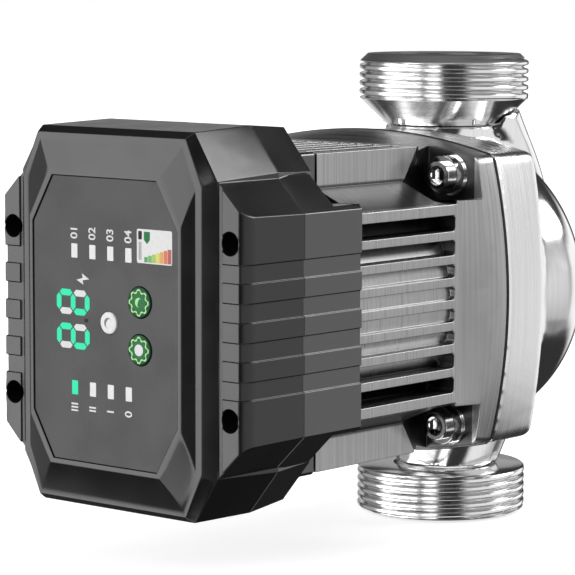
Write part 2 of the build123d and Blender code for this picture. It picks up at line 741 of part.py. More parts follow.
def front_cover():
    """The front shell: hollow, with the panel's windows and the long holes for its four screws."""
    shell = box_envelope() + both_wings()
    shell += octagon_loft(PANEL_FRONT, PANEL, RIM_FRONT, RIM_INNER)
    shell = shell & box(-BEYOND, BEYOND, PANEL_FRONT - 5, BOX_SPLIT, -BEYOND, BEYOND)
    shell -= slab(CAVITY, CAVITY_FRONT, BOX_SPLIT + 1)
    shell -= slab(PANEL_CAVITY, PANEL_INNER, CAVITY_FRONT + 0.2)
    shell -= slab(FILM_RECESS, PANEL_FRONT - 1, FILM_BACK)
    for cutter in panel_windows(PANEL_FRONT - 1, PANEL_INNER + 0.7, DISPLAY_GAP):
        shell -= cutter
    for x, z in corners(COVER_SCREW_X, COVER_SCREW_Z):
        shell -= rod(COVER_BORE_R, PANEL_FRONT, COVER_BORE_FLOOR, x, z)
        shell -= rod(COVER_SCREW_R + 0.42, PANEL_FRONT, BOX_SPLIT + 1, x, z)
    return shell


def box_base():
    """The rear shell, with the seal's groove, four board posts and the hole for the mains socket."""
    shell = box_envelope() + both_wings()
    shell = shell & box(-BEYOND, BEYOND, BOX_SPLIT, SADDLE_BACK + 1, -BEYOND, BEYOND)
    shell -= slab(BASE_CAVITY, BOX_SPLIT - 1, BODY_BACK - 1.5)
    shell -= box(-BASE_FLOOR_HALF_W, BASE_FLOOR_HALF_W, BODY_BACK - 2, BASE_FLOOR, -39.3, 39.3)
    shell -= slab(GASKET_GROOVE, BOX_SPLIT - 1, BOX_SPLIT + SEAL_THICKNESS)
    ledge = slab(CAVITY, BOX_SPLIT, BOX_SPLIT + SEAL_THICKNESS)
    shell += ledge - slab(BASE_CAVITY, BOX_SPLIT - 1, BOX_SPLIT + 2)
    shell -= box(-SLOT_HALF_W - 0.5, SLOT_HALF_W + 0.5, BASE_FLOOR - 1, BOX_BACK + 1, *SLOT_Z)
    for x, z in corners(BASE_SCREW_OFFSET, BASE_SCREW_OFFSET):
        shell -= rod(BASE_SCREW_R + 0.5, BASE_FLOOR - 1, BOX_BACK + 1, x, z)
    for x, z in corners(COVER_SCREW_X, COVER_SCREW_Z):
        shell -= rod(COVER_SCREW_R + 0.02, BOX_SPLIT - 1, COVER_SCREW_TIP + 1, x, z)
    for x, z in corners(BASE_POST_X, BASE_POST_Z):
        pillar = tube(2.6, 1.3, BASE_POST_FRONT, BASE_FLOOR, x, z)
        shell += pillar & box(-27.0, 27.0, BASE_POST_FRONT, BASE_FLOOR, -BEYOND, BEYOND)
        shell += tube(2.6, 1.3, BASE_POST_FRONT, BODY_BACK - 1.6, x, z)
    return shell - post(INLET_R + 0.1, INLET_CUP_FLOOR - 2, BEYOND, INLET_X, INLET_Y)


def cover_gasket():
    ring = slab(GASKET_OUTER, BOX_SPLIT, BOX_SPLIT + SEAL_THICKNESS)
    return ring - slab(GASKET_INNER, BOX_SPLIT - 1, BOX_SPLIT + 2)


def motor_gasket():
    """The flat sheet between the box and the motor housing."""
    sheet = box(-27.0, 27.0, BOX_BACK, MOTOR_FRONT, -38.0, 38.0)
    sheet -= box(-SLOT_HALF_W - 0.5, SLOT_HALF_W + 0.5, BOX_BACK - 1, MOTOR_FRONT + 1, *SLOT_Z)
    for x, z in corners(BASE_SCREW_OFFSET, BASE_SCREW_OFFSET):
        sheet -= rod(BASE_SCREW_R + 0.5, BOX_BACK - 1, MOTOR_FRONT + 1, x, z)
    return sheet


def cover_screw(x, z):
    """A round head with a crossed recess, on a plain shank."""
    head_front = COVER_BORE_FLOOR - 2.6
    recess = (head_front - 1, head_front + 1)
    head = rod(COVER_BORE_R - 0.15, head_front, COVER_BORE_FLOOR, x, z)
    head -= box(x - 2, x + 2, *recess, z - 0.4, z + 0.4) + box(x - 0.4, x + 0.4, *recess, z - 2, z + 2)
    return head + rod(COVER_SCREW_R, COVER_BORE_FLOOR - 0.2, COVER_SCREW_TIP, x, z)


def cover_screws():
    return Compound(children=[cover_screw(x, z) for x, z in corners(COVER_SCREW_X, COVER_SCREW_Z)])


def base_screw(x, z):
    """A slotted head on a plain shank."""
    head = rod(2 * BASE_SCREW_R, BASE_FLOOR - 2.5, BASE_FLOOR, x, z)
    head -= box(x - 2.4, x + 2.4, BASE_FLOOR - 3.5, BASE_FLOOR - 1.5, z - 0.4, z + 0.4)
    return head + rod(BASE_SCREW_R, BASE_FLOOR - 0.1, STATOR_POCKET_FRONT - 0.5, x, z)


def base_screws():
    return Compound(children=[base_screw(x, z) for x, z in corners(BASE_SCREW_OFFSET, BASE_SCREW_OFFSET)])


# ---------------------------------------------------------------- panel, buttons and boards

def display_film():
    film = slab(FILM, FILM_FRONT, FILM_BACK)
    for cutter in panel_windows(FILM_FRONT - 1, FILM_BACK + 1, 0.0):
        film -= cutter
    return film


def digit_display():
    """The two-digit display block, its face level with the film."""
    left, right = DISPLAY_X
    edge = 0.5
    face = box(left + DISPLAY_GAP, right - DISPLAY_GAP, FILM_FRONT + 0.05, CAP_COLLAR[1] + 1,
               DISPLAY_GAP - DISPLAY_HALF_H, DISPLAY_HALF_H - DISPLAY_GAP)
    body_front = PANEL_INNER + 0.7
    return face + box(left - edge, right + edge, body_front, DISPLAY_BOARD_FRONT,
                      -DISPLAY_HALF_H - edge, DISPLAY_HALF_H + edge)


def lamp_guides():
    half_w, half_h = LAMP_W / 2 - 0.05, LAMP_H / 2 - 0.05
    back = LAMP_CHIP_FRONT - 0.3
    return Compound(children=[box(x - half_w, x + half_w, FILM_FRONT + 0.02, back, z - half_h, z + half_h)
                              for x, z in lamp_places()])


def lamp_chips():
    """The small lamps on the board, one behind each light guide."""
    return Compound(children=[box(x - 0.8, x + 0.8, LAMP_CHIP_FRONT, DISPLAY_BOARD_FRONT, z - 1.4, z + 1.4)
                              for x, z in lamp_places()])


def push_button(x, z, radius):
    """A cap in the panel, a collar that stops it falling out and a stem down to its switch."""
    collar_front, collar_back = CAP_COLLAR
    cap = rod(radius, CAP_FRONT, collar_front + 0.6, x, z)
    cap = fillet(cap.edges().group_by(Axis.Y)[0], 0.3)
    collar = rod(radius + 0.7, collar_front, collar_back, x, z)
    stem = rod(STEM_R, collar_back - 0.1, STEM_BACK, x, z)
    return cap + collar + stem


def button_upper():
    return push_button(*buttons()[0])


def button_lower():
    return push_button(*buttons()[1])


def button_centre():
    return push_button(*buttons()[2])


def button_switches():
    """Three tactile switches: a square can with a short plunger."""
    half = SWITCH_HALF
    switches = []
    for x, z, radius in buttons():
        can = box(x - half, x + half, SWITCH_FRONT, DISPLAY_BOARD_FRONT, z - half, z + half)
        switches.append(can + rod(STEM_R + 0.1, SWITCH_FRONT - 0.4, SWITCH_FRONT + 0.1, x, z))
    return Compound(children=switches)


def display_board():
    half_w, half_h = DISPLAY_BOARD_HALF
    board = box(-half_w, half_w, DISPLAY_BOARD_FRONT, DISPLAY_BOARD_BACK, -half_h, half_h)
    for x, z in corners(SPACER_X, SPACER_Z):
        board -= rod(1.6, DISPLAY_BOARD_FRONT - 1, DISPLAY_BOARD_BACK + 1, x, z)
    return board


def board_spacers():
    """Pillars that carry the display board above the power board."""
    return Compound(children=[tube(2.8, 1.2, DISPLAY_BOARD_BACK, POWER_BOARD_FRONT, x, z)
                              for x, z in corners(SPACER_X, SPACER_Z)])


def display_board_screws():
    front = DISPLAY_BOARD_FRONT
    return Compound(children=[rod(2.6, front - 1.4, front, x, z) + rod(1.15, front - 0.1, front + 7.6, x, z)
                              for x, z in corners(SPACER_X, SPACER_Z)])


def power_board():
    return slab(POWER_BOARD, POWER_BOARD_FRONT, POWER_BOARD_BACK)


def power_board_screws():
    return Compound(children=[rod(2.0, POWER_BOARD_FRONT - 1.4, POWER_BOARD_FRONT, x, z)
                              for x, z in corners(POWER_SCREW_X, POWER_SCREW_Z)])


def bulk_capacitor():
    """A can lying on the board, its top to the upper port."""
    can_r = 7.9
    can = post(can_r, -12.0, 14.0, -16.0, POWER_BOARD_FRONT - can_r - 0.1)
    return fillet(can.edges().group_by(Axis.Z)[-1], 1.0)


def filter_choke():
    """A wound ring on its square foot."""
    x, z, foot_half, foot_height = 12.0, 17.0, 7.0, 2.0
    foot_front = POWER_BOARD_FRONT - foot_height
    ring = Pos(x, foot_front - 2.6, z) * Rot(90, 0, 0) * Torus(6.8, 3.2)
    foot = box(x - foot_half, x + foot_half, foot_front, POWER_BOARD_FRONT, z - foot_half, z + foot_half)
    return ring + foot


def filter_capacitor():
    block = box(2.0, 16.0, POWER_BOARD_FRONT - 9.9, POWER_BOARD_FRONT, 28.6, 35.0)
    return fillet(block.edges().filter_by(Axis.Y), 1.0)


def power_module():
    return box(2.0, 24.0, POWER_BOARD_FRONT - 3.0, POWER_BOARD_FRONT, -16.0, 4.0)


def transformer():
    """A block with the wire gap in its lower side."""
    core = box(-1.0, 17.0, POWER_BOARD_FRONT - 12.4, POWER_BOARD_FRONT, -33.0, -19.0)
    return core - box(2.0, 14.0, POWER_BOARD_FRONT - 10.9, POWER_BOARD_FRONT - 1.3, -34.0, -30.8)


def terminal_block():
    """The block with three wire holes, below the mains socket."""
    front = POWER_BOARD_FRONT - 8.4
    block = box(-17.0, 0.0, front, POWER_BOARD_FRONT, 29.0, 36.6)
    for x in (-14.2, -8.5, -2.8):
        block -= rod(1.9, front - 1, POWER_BOARD_FRONT - 1.9, x, 33.0)
    return block


def mains_inlet():
    """A round recessed socket with its rim in the top of the box."""
    cup = post(INLET_R, INLET_CUP_FLOOR - 1.4, INLET_TOP, INLET_X, INLET_Y)
    return cup - post(INLET_CUP_R, INLET_CUP_FLOOR, BEYOND, INLET_X, INLET_Y)


def inlet_pins():
    pins = []
    for angle in (90, 210, 330):
        x = INLET_X + PINS_R * math.cos(math.radians(angle))
        y = INLET_Y + PINS_R * math.sin(math.radians(angle))
        pins.append(post(0.6, INLET_CUP_FLOOR, INLET_CUP_FLOOR + 3.5, x, y))
    return Compound(children=pins)


PARTS = {
    "pump_housing": pump_housing,
    "inlet_threaded_end": inlet_threaded_end,
    "outlet_threaded_end": outlet_threaded_end,
    "neck_ring": neck_ring,
    "housing_gasket": housing_gasket,
    "bearing_plate": bearing_plate,
    "rotor_can": rotor_can,
    "front_bearing": front_bearing,
    "rear_bearing": rear_bearing,
    "rear_bearing_carrier": rear_bearing_carrier,
    "thrust_bearing": thrust_bearing,
    "thrust_retainer": thrust_retainer,
    "shaft": shaft,
    "rotor_core": rotor_core,
    "rotor_magnets": rotor_magnets,
    "rotor_sleeve": rotor_sleeve,
    "impeller": impeller,
    "impeller_shroud": impeller_shroud,
    "stator_core": stator_core,
    "stator_coils": stator_coils,
    "stator_insulator_front": stator_insulator_front,
    "stator_insulator_back": stator_insulator_back,
    "stator_connector": stator_connector,
    "motor_housing": motor_housing,
    "flange_screws": flange_screws,
    "flange_washers": flange_washers,
    "motor_gasket": motor_gasket,
    "box_base": box_base,
    "base_screws": base_screws,
    "cover_gasket": cover_gasket,
    "front_cover": front_cover,
    "cover_screws": cover_screws,
    "display_film": display_film,
    "digit_display": digit_display,
    "lamp_guides": lamp_guides,
    "lamp_chips": lamp_chips,
    "button_upper": button_upper,
    "button_lower": button_lower,
    "button_centre": button_centre,
    "button_switches": button_switches,
    "display_board": display_board,
    "board_spacers": board_spacers,
    "display_board_screws": display_board_screws,
    "power_board": power_board,
    "power_board_screws": power_board_screws,
    "bulk_capacitor": bulk_capacitor,
    "filter_choke": filter_choke,
    "filter_capacitor": filter_capacitor,
    "power_module": power_module,
    "transformer": transformer,
    "terminal_block": terminal_block,
    "mains_inlet": mains_inlet,
    "inlet_pins": inlet_pins,
}

os.makedirs("parts", exist_ok=True)
for name, build in PARTS.items():
    export_step(Pos(0, 0, SHAFT_HEIGHT) * build(), f"parts/{name}.step")
    print("wrote", name)
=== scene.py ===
import json
import math

import bmesh
import bpy
from mathutils import Matrix, Vector


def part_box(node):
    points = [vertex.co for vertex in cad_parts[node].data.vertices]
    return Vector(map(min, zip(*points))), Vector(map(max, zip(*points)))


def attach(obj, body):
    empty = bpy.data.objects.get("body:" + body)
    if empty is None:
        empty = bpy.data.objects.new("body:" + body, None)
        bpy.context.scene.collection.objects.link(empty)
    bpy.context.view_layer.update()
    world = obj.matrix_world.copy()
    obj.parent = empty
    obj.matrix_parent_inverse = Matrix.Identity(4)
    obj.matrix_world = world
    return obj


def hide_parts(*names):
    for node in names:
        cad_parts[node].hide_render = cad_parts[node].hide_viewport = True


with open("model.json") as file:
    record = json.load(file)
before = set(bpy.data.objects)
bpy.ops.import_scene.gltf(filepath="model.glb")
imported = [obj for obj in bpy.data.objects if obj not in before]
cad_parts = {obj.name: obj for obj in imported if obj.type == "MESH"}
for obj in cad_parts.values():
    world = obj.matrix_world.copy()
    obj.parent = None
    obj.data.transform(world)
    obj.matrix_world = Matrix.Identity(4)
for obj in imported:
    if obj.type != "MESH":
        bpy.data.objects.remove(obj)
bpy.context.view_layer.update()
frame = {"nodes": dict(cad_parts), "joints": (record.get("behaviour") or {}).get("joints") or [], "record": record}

# The looks of a heating circulator pump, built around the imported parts. Shapes are worked out in
# millimetres about the motor shaft, as in the part's source, and moved into the frame at the end:
# X to the right of the panel, Y from the panel to the pump housing, Z up the pipe.

MM = 0.001
SHAFT_Z = next(joint["pos_m"][2] for joint in frame["joints"] if joint["name"] == "rotor_spin")
INTO_FRAME = Matrix.Translation((0, 0, SHAFT_Z)) @ Matrix.Scale(MM, 4)


# ---------------------------------------------------------------- places taken from the frame

def node_range(node, axis):
    """Lowest and highest place of a CAD node along one axis, in millimetres about the shaft."""
    low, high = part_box(node)
    lift = SHAFT_Z if axis == 2 else 0.0
    return (low[axis] - lift) / MM, (high[axis] - lift) / MM


FILM_FRONT = node_range("display_film", 1)[0]
CONE_FOOT, TOP_FACE = node_range("inlet_threaded_end", 2)
BOTTOM_FACE, COLLAR_TOP = node_range("outlet_threaded_end", 2)
FLANGE_JOINT = node_range("motor_housing", 1)[1]
THREAD_R = node_range("outlet_threaded_end", 0)[1]

# Each push button's place across the panel, its place up the panel and its radius.
BUTTONS = {
    "button_upper": (12.2, 5.9, 3.9),
    "button_lower": (12.2, -5.9, 3.9),
    "button_centre": (1.7, 0.0, 2.8),
}


# ---------------------------------------------------------------- material building blocks

def maths_node(tree, operation, first, second=None):
    """A maths node on values or plain numbers."""
    node = tree.nodes.new("ShaderNodeMath")
    node.operation = operation
    for socket, value in zip(node.inputs, (first, second)):
        if isinstance(value, (int, float)):
            socket.default_value = value
        elif value is not None:
            tree.links.new(value, socket)
    return node.outputs[0]


def remap_node(tree, value, low, high, start, end):
    """A value rescaled smoothly from start..end to low..high."""
    remap = tree.nodes.new("ShaderNodeMapRange")
    remap.interpolation_type = "SMOOTHSTEP"
    remap.inputs["From Min"].default_value = start
    remap.inputs["From Max"].default_value = end
    remap.inputs["To Min"].default_value = low
    remap.inputs["To Max"].default_value = high
    tree.links.new(value, remap.inputs["Value"])
    return remap.outputs["Result"]


class Paint:
    """A material with one Principled shader, and short calls for the nodes that drive it."""

    def __init__(self, name, colour, metallic=0.0, roughness=0.5, **sockets):
        self.material = bpy.data.materials.new(name)
        self.material.use_nodes = True
        self.material.diffuse_color = (*colour, 1.0)
        self.tree = self.material.node_tree
        self.shader = self.tree.nodes["Principled BSDF"]
        self.shader.inputs["Base Color"].default_value = (*colour, 1.0)
        self.shader.inputs["Metallic"].default_value = metallic
        self.shader.inputs["Roughness"].default_value = roughness
        for socket, value in sockets.items():
            self.shader.inputs[socket.replace("_", " ")].default_value = value
        self.place = self.node("ShaderNodeTexCoord").outputs["Object"]

    def node(self, kind, **settings):
        """A new node with its settings."""
        made = self.tree.nodes.new(kind)
        for key, value in settings.items():
            setattr(made, key, value)
        return made

    def link(self, source, target):
        """Joins one node's output to another's input."""
        self.tree.links.new(source, target)

    def noise(self, scale, detail=3.0, distortion=0.0):
        """Noise in object space; scale is cells per metre along X, Y and Z."""
        mapping = self.node("ShaderNodeMapping")
        mapping.inputs["Scale"].default_value = scale
        self.link(self.place, mapping.inputs["Vector"])
        texture = self.node("ShaderNodeTexNoise")
        texture.inputs["Scale"].default_value = 1.0
        texture.inputs["Detail"].default_value = detail
        texture.inputs["Distortion"].default_value = distortion
        self.link(mapping.outputs["Vector"], texture.inputs["Vector"])
        return texture.outputs["Fac"]

    def ramp(self, value, stops, interpolation="LINEAR"):
        """A colour ramp through (place, colour) stops; a plain number is a grey."""
        ramp = self.node("ShaderNodeValToRGB")
        ramp.color_ramp.interpolation = interpolation
        elements = ramp.color_ramp.elements
        while len(elements) < len(stops):
            elements.new(1.0)
        for element, (place, colour) in zip(elements, stops):
            element.position = place
            element.color = (*colour, 1.0) if isinstance(colour, tuple) else (colour, colour, colour, 1.0)
        self.link(value, ramp.inputs["Fac"])
        return ramp.outputs["Color"]

    def spread(self, value, low, high, start=0.3, end=0.7):
        """A value rescaled from start..end to low..high; noise lies mostly in the given start..end."""
        return remap_node(self.tree, value, low, high, start, end)

    def axis(self, letter):
        """The place along one axis, in metres."""
        split = self.node("ShaderNodeSeparateXYZ")
        self.link(self.place, split.inputs["Vector"])
        return split.outputs[letter]

    def maths(self, operation, first, second=None):
        """A sum, product or other maths on values or plain numbers."""
        return maths_node(self.tree, operation, first, second)

    def product(self, *factors):
        """All the values multiplied together."""
        result = factors[0]
        for factor in factors[1:]:
            result = self.maths("MULTIPLY", result, factor)
        return result

    def rise(self, value, low, high):
        """0 below low and 1 above high, in millimetres, smooth between."""
        return self.spread(value, 0.0, 1.0, low * MM, high * MM)

    def fall(self, value, low, high):
        """1 below low and 0 above high, in millimetres, smooth between."""
        return self.spread(value, 1.0, 0.0, low * MM, high * MM)

    def grey_level(self, level):
        """The base colour as a grey of this level."""
        self.colour(self.ramp(level, [(0.0, 0.0), (1.0, 1.0)]))

    def blend(self, factor, first, second):
        """A share of the second value, as large as the factor, mixed into the first."""
        mix = self.node("ShaderNodeMix", data_type="FLOAT")
        self.link(factor, mix.inputs["Factor"])
        self.link(first, mix.inputs["A"])
        self.link(second, mix.inputs["B"])
        return mix.outputs["Result"]

    def bump(self, height, distance, strength=1.0):
        """Relief on the surface, its full height a distance in metres."""
        bump = self.node("ShaderNodeBump")
        bump.inputs["Distance"].default_value = distance
        bump.inputs["Strength"].default_value = strength
        self.link(height, bump.inputs["Height"])
        self.link(bump.outputs["Normal"], self.shader.inputs["Normal"])

    def colour(self, source):
        """Drives the base colour."""
        self.link(source, self.shader.inputs["Base Color"])

    def roughness(self, source):
        """Drives the roughness."""
        self.link(source, self.shader.inputs["Roughness"])

    def glow(self, colour, strength):
        """Makes the surface shine by itself."""
        self.shader.inputs["Emission Color"].default_value = (*colour, 1.0)
        self.shader.inputs["Emission Strength"].default_value = strength


def grey(level):
    """A colour with no hue."""
    return (level, level, level)


def brushed_metal(name, level, roughness, along="Z", depth=0.00001, tint=(1.0, 1.0, 1.0), contrast=0.13):
    """Metal with fine drawn lines along one axis."""
    paint = Paint(name, tuple(level * t for t in tint), metallic=1.0, roughness=roughness)
    fine = {"Y": (2600, 35, 2600), "Z": (2600, 2600, 35)}[along]
    lines = paint.noise(fine, detail=4.0)
    cloud = paint.noise((60, 60, 60), detail=2.0)
    low, high = level * (1 - contrast), level * (1 + contrast)
    stops = [(0.3, tuple(low * t for t in tint)), (0.7, tuple(high * t for t in tint))]
    paint.colour(paint.ramp(lines, stops))
    paint.roughness(paint.spread(cloud, roughness * 0.85, roughness * 1.2))
    paint.bump(lines, depth, 0.5)
    return paint.material


def moulded_plastic(name, level, roughness, grain=0.00003, specular=0.8, tint=(1.0, 1.0, 1.02)):
    """Black plastic with a fine spark-eroded grain."""
    paint = Paint(name, tuple(level * t for t in tint), roughness=roughness, Specular_IOR_Level=specular)
    speckle = paint.noise((2300, 2300, 2300), detail=2.0)
    cloud = paint.noise((90, 90, 90), detail=3.0)
    stops = [(0.3, tuple(level * 0.8 * t for t in tint)), (0.7, tuple(level * 1.25 * t for t in tint))]
    paint.colour(paint.ramp(speckle, stops))
    paint.roughness(paint.spread(cloud, roughness * 0.9, roughness * 1.1))
    paint.bump(speckle, grain, 0.35)
    return paint.material


def print_ink(name, colour, glow=0.0, roughness=0.4, specular=0.12):
    """A printed or lit mark, with the faint unevenness of ink; a glow given to a printed mark or an unlit lamp is
    painted light.
    """
    paint = Paint(name, colour, roughness=roughness, Specular_IOR_Level=specular)
    mottle = paint.noise((1500, 1500, 1500), detail=2.0)
    darker = tuple(0.93 * c for c in colour)
    paint.colour(paint.ramp(mottle, [(0.35, darker), (0.65, colour)]))
    if glow:
        paint.glow(colour, glow)
    return paint.material


BAND_WIDTH = 19.0


def steel_housing_material():
    """Pressed stainless steel: a brushed band next to the motor and a polished dome behind it."""
    paint = Paint("pressed_stainless", grey(0.62), metallic=1.0, roughness=0.2)
    band_back = FLANGE_JOINT + BAND_WIDTH
    on_dome = paint.rise(paint.axis("Y"), band_back, band_back + 2.0)
    lines = paint.noise((25, 1400, 25), detail=4.0)
    cloud = paint.noise((45, 45, 45), detail=3.0)
    brushed = paint.spread(lines, 0.24, 0.29)
    polished = paint.spread(cloud, 0.09, 0.15)
    paint.roughness(paint.blend(on_dome, brushed, polished))
    paint.colour(paint.ramp(lines, [(0.3, 0.70), (0.7, 0.75)]))
    return paint.material


# Where the painted shade on the motor casting starts and stops: from and to, in millimetres from the shaft or
# along Y.
SKIN = (34.5, 39.6)
FLANGE_START = (-48.0, -47.2)
NOTCH_START = (26.4, 27.0)
NOTCH_FLOOR = (32.1, 32.5)
PLATE_FOOT = (32.3, 33.3)
PLATE_SIDE = (27.2, 27.9)
POCKET_SIDE = (25.3, 25.5)
OUTER_FACE = (40.7, 40.9)
POCKET_FLOOR = (-39.4, -39.2)
POCKET_START = (-74.4, -74.1)
POCKET_SLOPE = 0.65


def open_face_share(paint):
    """1 on the casting's outer faces, flange and corner plates, and 0 in its slots, corner notches and screw
    pockets, where shade is painted.
    """
    sideways = paint.maths("ABSOLUTE", paint.axis("X"))
    upwards = paint.maths("ABSOLUTE", paint.maths("SUBTRACT", paint.axis("Z"), SHAFT_Z))
    farther = paint.maths("MAXIMUM", sideways, upwards)
    nearer = paint.maths("MINIMUM", sideways, upwards)
    notch = paint.product(paint.rise(upwards, *NOTCH_START), paint.fall(upwards, *NOTCH_FLOOR))
    outer = paint.product(paint.rise(farther, *SKIN), paint.maths("SUBTRACT", 1.0, notch))
    flange = paint.rise(paint.axis("Y"), *FLANGE_START)
    plate = paint.product(paint.rise(upwards, *PLATE_FOOT), paint.rise(sideways, *PLATE_SIDE))
    slant = paint.maths("SUBTRACT", paint.axis("Y"), paint.maths("MULTIPLY", upwards, POCKET_SLOPE))
    pocket = paint.product(paint.rise(nearer, *POCKET_SIDE), paint.fall(farther, *OUTER_FACE),
                           paint.rise(slant, *POCKET_START), paint.fall(paint.axis("Y"), *POCKET_FLOOR))
    open_faces = paint.maths("MAXIMUM", paint.maths("MAXIMUM", outer, flange), plate)
    return paint.product(open_faces, paint.maths("SUBTRACT", 1.0, pocket))


def casting_material():
    """Gunmetal aluminium, brushed, with painted shade darkening its slots, corner notches and screw pockets."""
    paint = Paint("brushed_aluminium", grey(0.24), metallic=1.0, roughness=0.32)
    lines = paint.noise((25, 1500, 25), detail=4.0)
    # Painted shade: the colour drops to a fifth in the slots, corner notches and screw pockets.
    recess_shade = paint.spread(open_face_share(paint), 0.2, 1.0, 0.0, 1.0)
    paint.grey_level(paint.product(paint.spread(lines, 0.29, 0.37), recess_shade))
    paint.roughness(paint.spread(lines, 0.27, 0.36))
    return paint.material


UPPER_CHAMFER = 2.1
LOWER_CHAMFER = 0.5


def turned_steel_material():
    """Polished steel with fine lathe rings, duller and with painted shade on the chamfer beside each sealing face.
    """
    paint = Paint("turned_steel", grey(0.7), metallic=1.0, roughness=0.16)
    rings = paint.noise((25, 25, 5200), detail=2.0)
    cloud = paint.noise((120, 120, 120), detail=3.0)
    upper, lower = TOP_FACE - UPPER_CHAMFER, BOTTOM_FACE + LOWER_CHAMFER
    middle = (upper + lower) / 2 * MM + SHAFT_Z
    reach = (upper - lower) / 2
    from_middle = paint.maths("ABSOLUTE", paint.maths("SUBTRACT", paint.axis("Z"), middle))
    chamfer = paint.rise(from_middle, reach - 0.1, reach + 0.2)
    # Painted shade: the colour is darkened to about a quarter on the chamfer band beside each sealing face.
    darker = paint.spread(chamfer, 1.0, 0.24, 0.0, 1.0)
    paint.grey_level(paint.product(paint.spread(rings, 0.66, 0.74), darker))
    duller = paint.spread(chamfer, 0.0, 0.3, 0.0, 1.0)
    paint.roughness(paint.maths("ADD", paint.spread(cloud, 0.16, 0.2), duller))
    paint.bump(rings, 0.000002, 0.15)
    return paint.material


def plated_material():
    """Bright zinc plating, which scatters light as well as mirroring it."""
    paint = Paint("bright_plating", grey(0.8), metallic=0.45, roughness=0.25)
    cloud = paint.noise((300, 300, 300), detail=3.0)
    paint.roughness(paint.spread(cloud, 0.2, 0.32))
    paint.colour(paint.ramp(cloud, [(0.3, 0.74), (0.7, 0.86)]))
    return paint.material


def painted_glow_button_material():
    """A green cap with a painted glow: its colour is painted bright in the middle of each button and darker, as
    painted shade, at its rim.
    """
    paint = Paint("green_button_painted_glow", (0.01, 0.2, 0.04), roughness=0.35, Specular_IOR_Level=0.15)
    x, z, radius = BUTTONS["button_upper"]
    sideways = paint.maths("POWER", paint.maths("SUBTRACT", paint.axis("X"), x * MM), 2.0)
    height = paint.maths("ABSOLUTE", paint.maths("SUBTRACT", paint.axis("Z"), SHAFT_Z))
    upwards = paint.maths("POWER", paint.maths("SUBTRACT", height, z * MM), 2.0)
    from_centre = paint.maths("SQRT", paint.maths("ADD", sideways, upwards))
    share = paint.rise(from_centre, 1.6, radius - 0.1)
    # Painted glow and shade: the colour is brighter in the middle of the cap and darker towards its rim.
    paint.colour(paint.ramp(share, [(0.0, (0.006, 0.1, 0.022)), (1.0, (0.002, 0.035, 0.012))]))
    return paint.material


def energy_bars_material(start, end):
    """Bars that run from green through yellow to red along X."""
    paint = Paint("energy_bars", (0.5, 0.5, 0.0), roughness=0.4)
    along = paint.spread(paint.axis("X"), 0.0, 1.0, start * MM, end * MM)
    along.node.interpolation_type = "LINEAR"
    colours = [(0.01, 0.17, 0.03), (0.05, 0.25, 0.02), (0.2, 0.32, 0.02), (0.42, 0.38, 0.01),
               (0.42, 0.2, 0.01), (0.38, 0.07, 0.01), (0.28, 0.01, 0.01)]
    stops = [(step / len(colours), colour) for step, colour in enumerate(colours)]
    paint.colour(paint.ramp(along, stops, "CONSTANT"))
    return paint.material


def copper_material():
    """Enamelled copper wire, wound round the shaft's direction."""
    paint = Paint("enamelled_copper", (0.55, 0.2, 0.07), metallic=1.0, roughness=0.3)
    turns = paint.node("ShaderNodeTexWave", bands_direction="Y")
    turns.inputs["Scale"].default_value = 400.0
    paint.link(paint.place, turns.inputs["Vector"])
    paint.colour(paint.ramp(turns.outputs["Fac"], [(0.2, (0.3, 0.09, 0.03)), (0.7, (0.6, 0.23, 0.08))]))
    paint.bump(turns.outputs["Fac"], 0.0001)
    return paint.material


def lamination_material():
    """Thin steel sheets stacked along the shaft."""
    paint = Paint("stacked_laminations", grey(0.3), metallic=0.9, roughness=0.4)
    sheets = paint.node("ShaderNodeTexWave", bands_direction="Y")
    sheets.inputs["Scale"].default_value = 300.0
    paint.link(paint.place, sheets.inputs["Vector"])
    paint.colour(paint.ramp(sheets.outputs["Fac"], [(0.1, 0.12), (0.4, 0.34)]))
    paint.bump(sheets.outputs["Fac"], 0.00005)
    return paint.material


def board_material():
    """A green circuit board with lighter tracks."""
    paint = Paint("green_circuit_board", (0.02, 0.12, 0.05), roughness=0.35)
    tracks = paint.noise((180, 180, 60), detail=0.0, distortion=1.5)
    paint.colour(paint.ramp(tracks, [(0.46, (0.015, 0.09, 0.04)), (0.5, (0.04, 0.2, 0.08))]))
    return paint.material


PLASTIC = moulded_plastic("cover_plastic", 0.007, 0.24, grain=0.00001, specular=0.45)
BASE_PLASTIC = moulded_plastic("base_plastic", 0.014, 0.19, grain=0.00001, specular=0.95)
FILM = moulded_plastic("matt_panel_film", 0.012, 0.40, grain=0.000008, specular=0.34)
DARK_PLASTIC = moulded_plastic("component_black", 0.012, 0.45)
ALUMINIUM = casting_material()
# Painted highlight: a bright aluminium colour for every rounded edge of the finned casting.
EDGE_HIGHLIGHT = brushed_metal("aluminium_edge_painted_highlight", 0.62, 0.3)
HOUSING_STEEL = steel_housing_material()
TURNED_STEEL = turned_steel_material()
CHROME = brushed_metal("bright_screw_steel", 0.72, 0.12, along="Y", depth=0.000003)
PLATED = plated_material()
BORE_STEEL = brushed_metal("shaded_bore_steel", 0.04, 0.55, along="Z", depth=0.000002)
KNURLED = brushed_metal("knurled_screw_head", 0.26, 0.4, along="Y", depth=0.00002, contrast=0.35)
THIN_STEEL = brushed_metal("drawn_steel", 0.45, 0.3, along="Y")
RUBBER = moulded_plastic("black_rubber", 0.008, 0.7, specular=0.3)
# Painted glow: printed white marks shine by themselves so they read bright white.
WHITE_INK_PAINTED_GLOW = print_ink("white_ink_painted_glow", (0.44, 0.44, 0.44), glow=0.25)
TEAL_LIGHT = print_ink("teal_light", (0.012, 0.34, 0.19), glow=1.0)
